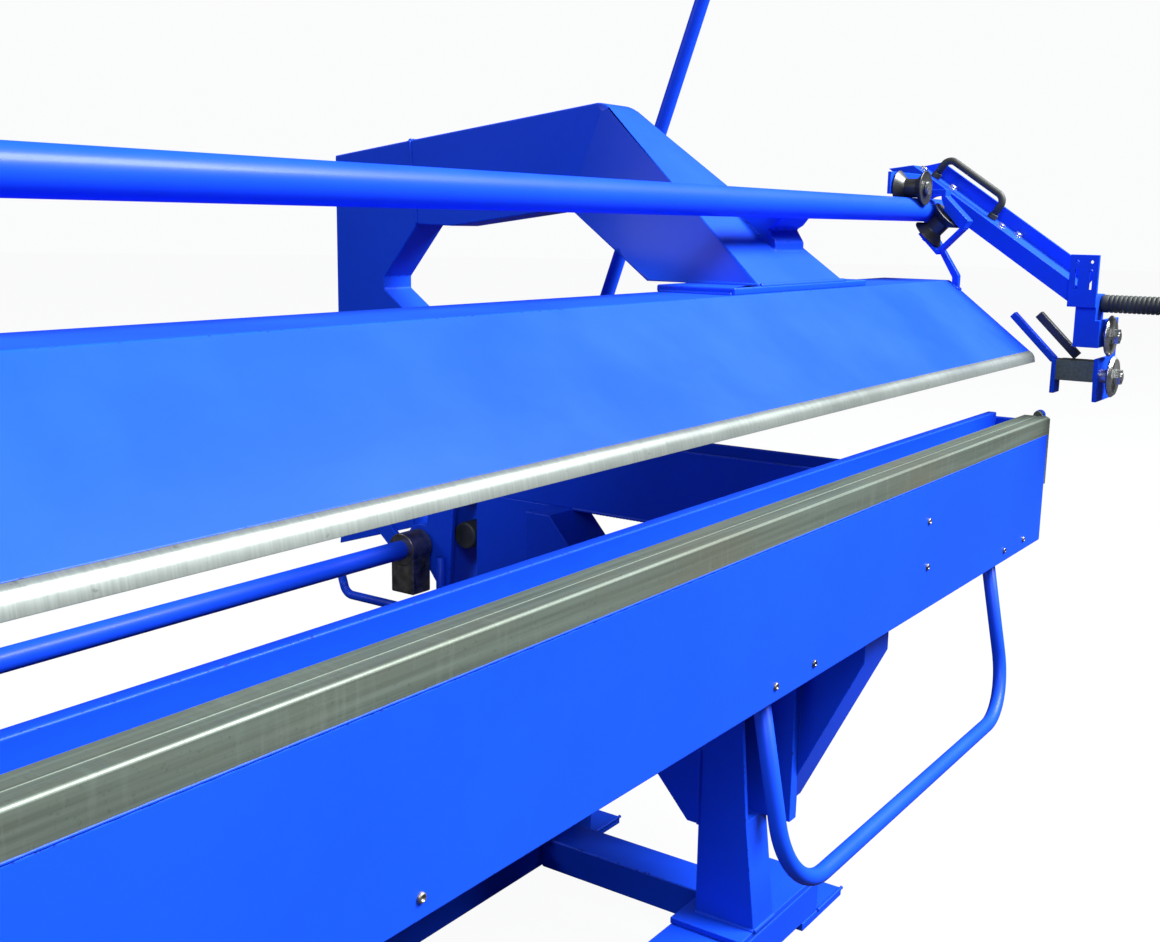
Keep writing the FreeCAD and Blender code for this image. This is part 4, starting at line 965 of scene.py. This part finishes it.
def studio_paint(name, seen, hidden):
    """A matt floor: nearly white for the camera, and dark for the light that it sends on."""
    paint = Paint(name)
    soft = paint.noise(2.2, 3.0)
    pale = paint.mix(soft.band(0.3, 0.7), lighter(seen, 0.98), seen)
    camera = paint.add("ShaderNodeLightPath", output=0)
    tone = paint.mix(camera, hidden, pale)
    matt = paint.add("ShaderNodeBsdfDiffuse", {}, {"Color": tone})
    bright = paint.add("ShaderNodeEmission", {},
                       {"Color": (0.995, 0.998, 1.0), "Strength": 1.0})
    mixed = paint.add("ShaderNodeMixShader", {},
                      {0: camera * looks().floor_glow, 1: matt, 2: bright})
    paint.add("ShaderNodeOutputMaterial", {}, {"Surface": mixed})
    return paint.material


class FOLDER_OT_studio(Operator):
    """Set up the floor, the backdrop, the lamps and the camera"""
    bl_idname = "folder.studio"
    bl_label = "Studio"

    def execute(self, context):
        self.floor()
        self.world()
        self.lamps()
        self.camera()
        context.scene.view_settings.view_transform = "Standard"
        return {"FINISHED"}

    def floor(self):
        bm = bmesh.new()
        bmesh.ops.create_circle(bm, cap_ends=True, segments=96, radius=40.0)
        mesh = bpy.data.meshes.new("floor")
        bm.to_mesh(mesh)
        bm.free()
        floor = bpy.data.objects.new("floor", mesh)
        bpy.context.scene.collection.objects.link(floor)
        seen, hidden = (0.50, 0.51, 0.53), (0.03, 0.03, 0.035)
        mesh.materials.append(studio_paint("pale_floor", seen, hidden))

    def world(self):
        world = bpy.data.worlds.new("studio")
        world.use_nodes = True
        bpy.context.scene.world = world
        tree = world.node_tree
        tree.nodes.clear()
        path = tree.nodes.new("ShaderNodeLightPath")
        shades = [tree.nodes.new("ShaderNodeBackground") for _ in range(3)]
        mixes = [tree.nodes.new("ShaderNodeMixShader") for _ in range(2)]
        out = tree.nodes.new("ShaderNodeOutputWorld")
        cool, white, backdrop = (0.90, 0.95, 1.0), (0.99, 0.995, 1.0), 0.975
        strengths = (looks().sky, looks().mirrored_sky, backdrop)
        for shade, colour, strength in zip(shades, (cool, cool, white), strengths):
            shade.inputs["Color"].default_value = (*colour, 1.0)
            shade.inputs["Strength"].default_value = strength
        tree.links.new(path.outputs["Is Glossy Ray"], mixes[0].inputs[0])
        tree.links.new(shades[0].outputs[0], mixes[0].inputs[1])
        tree.links.new(shades[1].outputs[0], mixes[0].inputs[2])
        tree.links.new(path.outputs["Is Camera Ray"], mixes[1].inputs[0])
        tree.links.new(mixes[0].outputs[0], mixes[1].inputs[1])
        tree.links.new(shades[2].outputs[0], mixes[1].inputs[2])
        tree.links.new(mixes[1].outputs[0], out.inputs["Surface"])

    def lamps(self):
        for name, place, target, size, power, shine in LAMPS:
            data = bpy.data.lights.new(name, "AREA")
            data.shape = "RECTANGLE"
            data.size, data.size_y = size
            data.energy = power
            data.specular_factor = shine
            lamp = bpy.data.objects.new(name, data)
            lamp.location = place
            line = Vector(target) - Vector(place)
            lamp.rotation_euler = line.to_track_quat("-Z", "Y").to_euler()
            bpy.context.scene.collection.objects.link(lamp)

    def camera(self):
        data = bpy.data.cameras.new("camera")
        data.lens = looks().lens
        data.sensor_width = 36.0
        data.clip_start, data.clip_end = 0.05, 200.0
        camera = bpy.data.objects.new("camera", data)
        turn = (Matrix.Rotation(-looks().view_turn, 4, "Z")
                @ Matrix.Rotation(math.pi / 2 - looks().view_tilt, 4, "X")
                @ Matrix.Rotation(looks().view_roll, 4, "Z"))
        camera.matrix_world = Matrix.Translation(CAMERA_PLACE) @ turn
        bpy.context.scene.collection.objects.link(camera)
        bpy.context.scene.camera = camera


STEPS = (FOLDER_OT_finishes, FOLDER_OT_stand, FOLDER_OT_beams, FOLDER_OT_bow_handles,
         FOLDER_OT_upper_jaw, FOLDER_OT_guide_rail, FOLDER_OT_linkage, FOLDER_OT_lever,
         FOLDER_OT_cutter, FOLDER_OT_fasteners, FOLDER_OT_weld_seams, FOLDER_OT_studio)


class FOLDER_PT_panel(Panel):
    """Steps and settings of the sheet metal folder"""
    bl_idname = "FOLDER_PT_panel"
    bl_label = "Sheet metal folder"
    bl_space_type = "VIEW_3D"
    bl_region_type = "UI"
    bl_category = "Folder"

    def draw(self, context):
        for step in STEPS:
            self.layout.operator(step.bl_idname)
        for name in FolderLooks.__annotations__:
            self.layout.prop(looks(), name)


CLASSES = (FolderLooks, *STEPS, FOLDER_PT_panel)


def register():
    for each in CLASSES:
        bpy.utils.register_class(each)
    bpy.types.Scene.folder_looks = PointerProperty(type=FolderLooks)


def unregister():
    del bpy.types.Scene.folder_looks
    for each in reversed(CLASSES):
        bpy.utils.unregister_class(each)


def main():
    register()
    for step in STEPS:
        group, name = step.bl_idname.split(".")
        getattr(getattr(bpy.ops, group), name)()


if __name__ == "__main__":
    main()
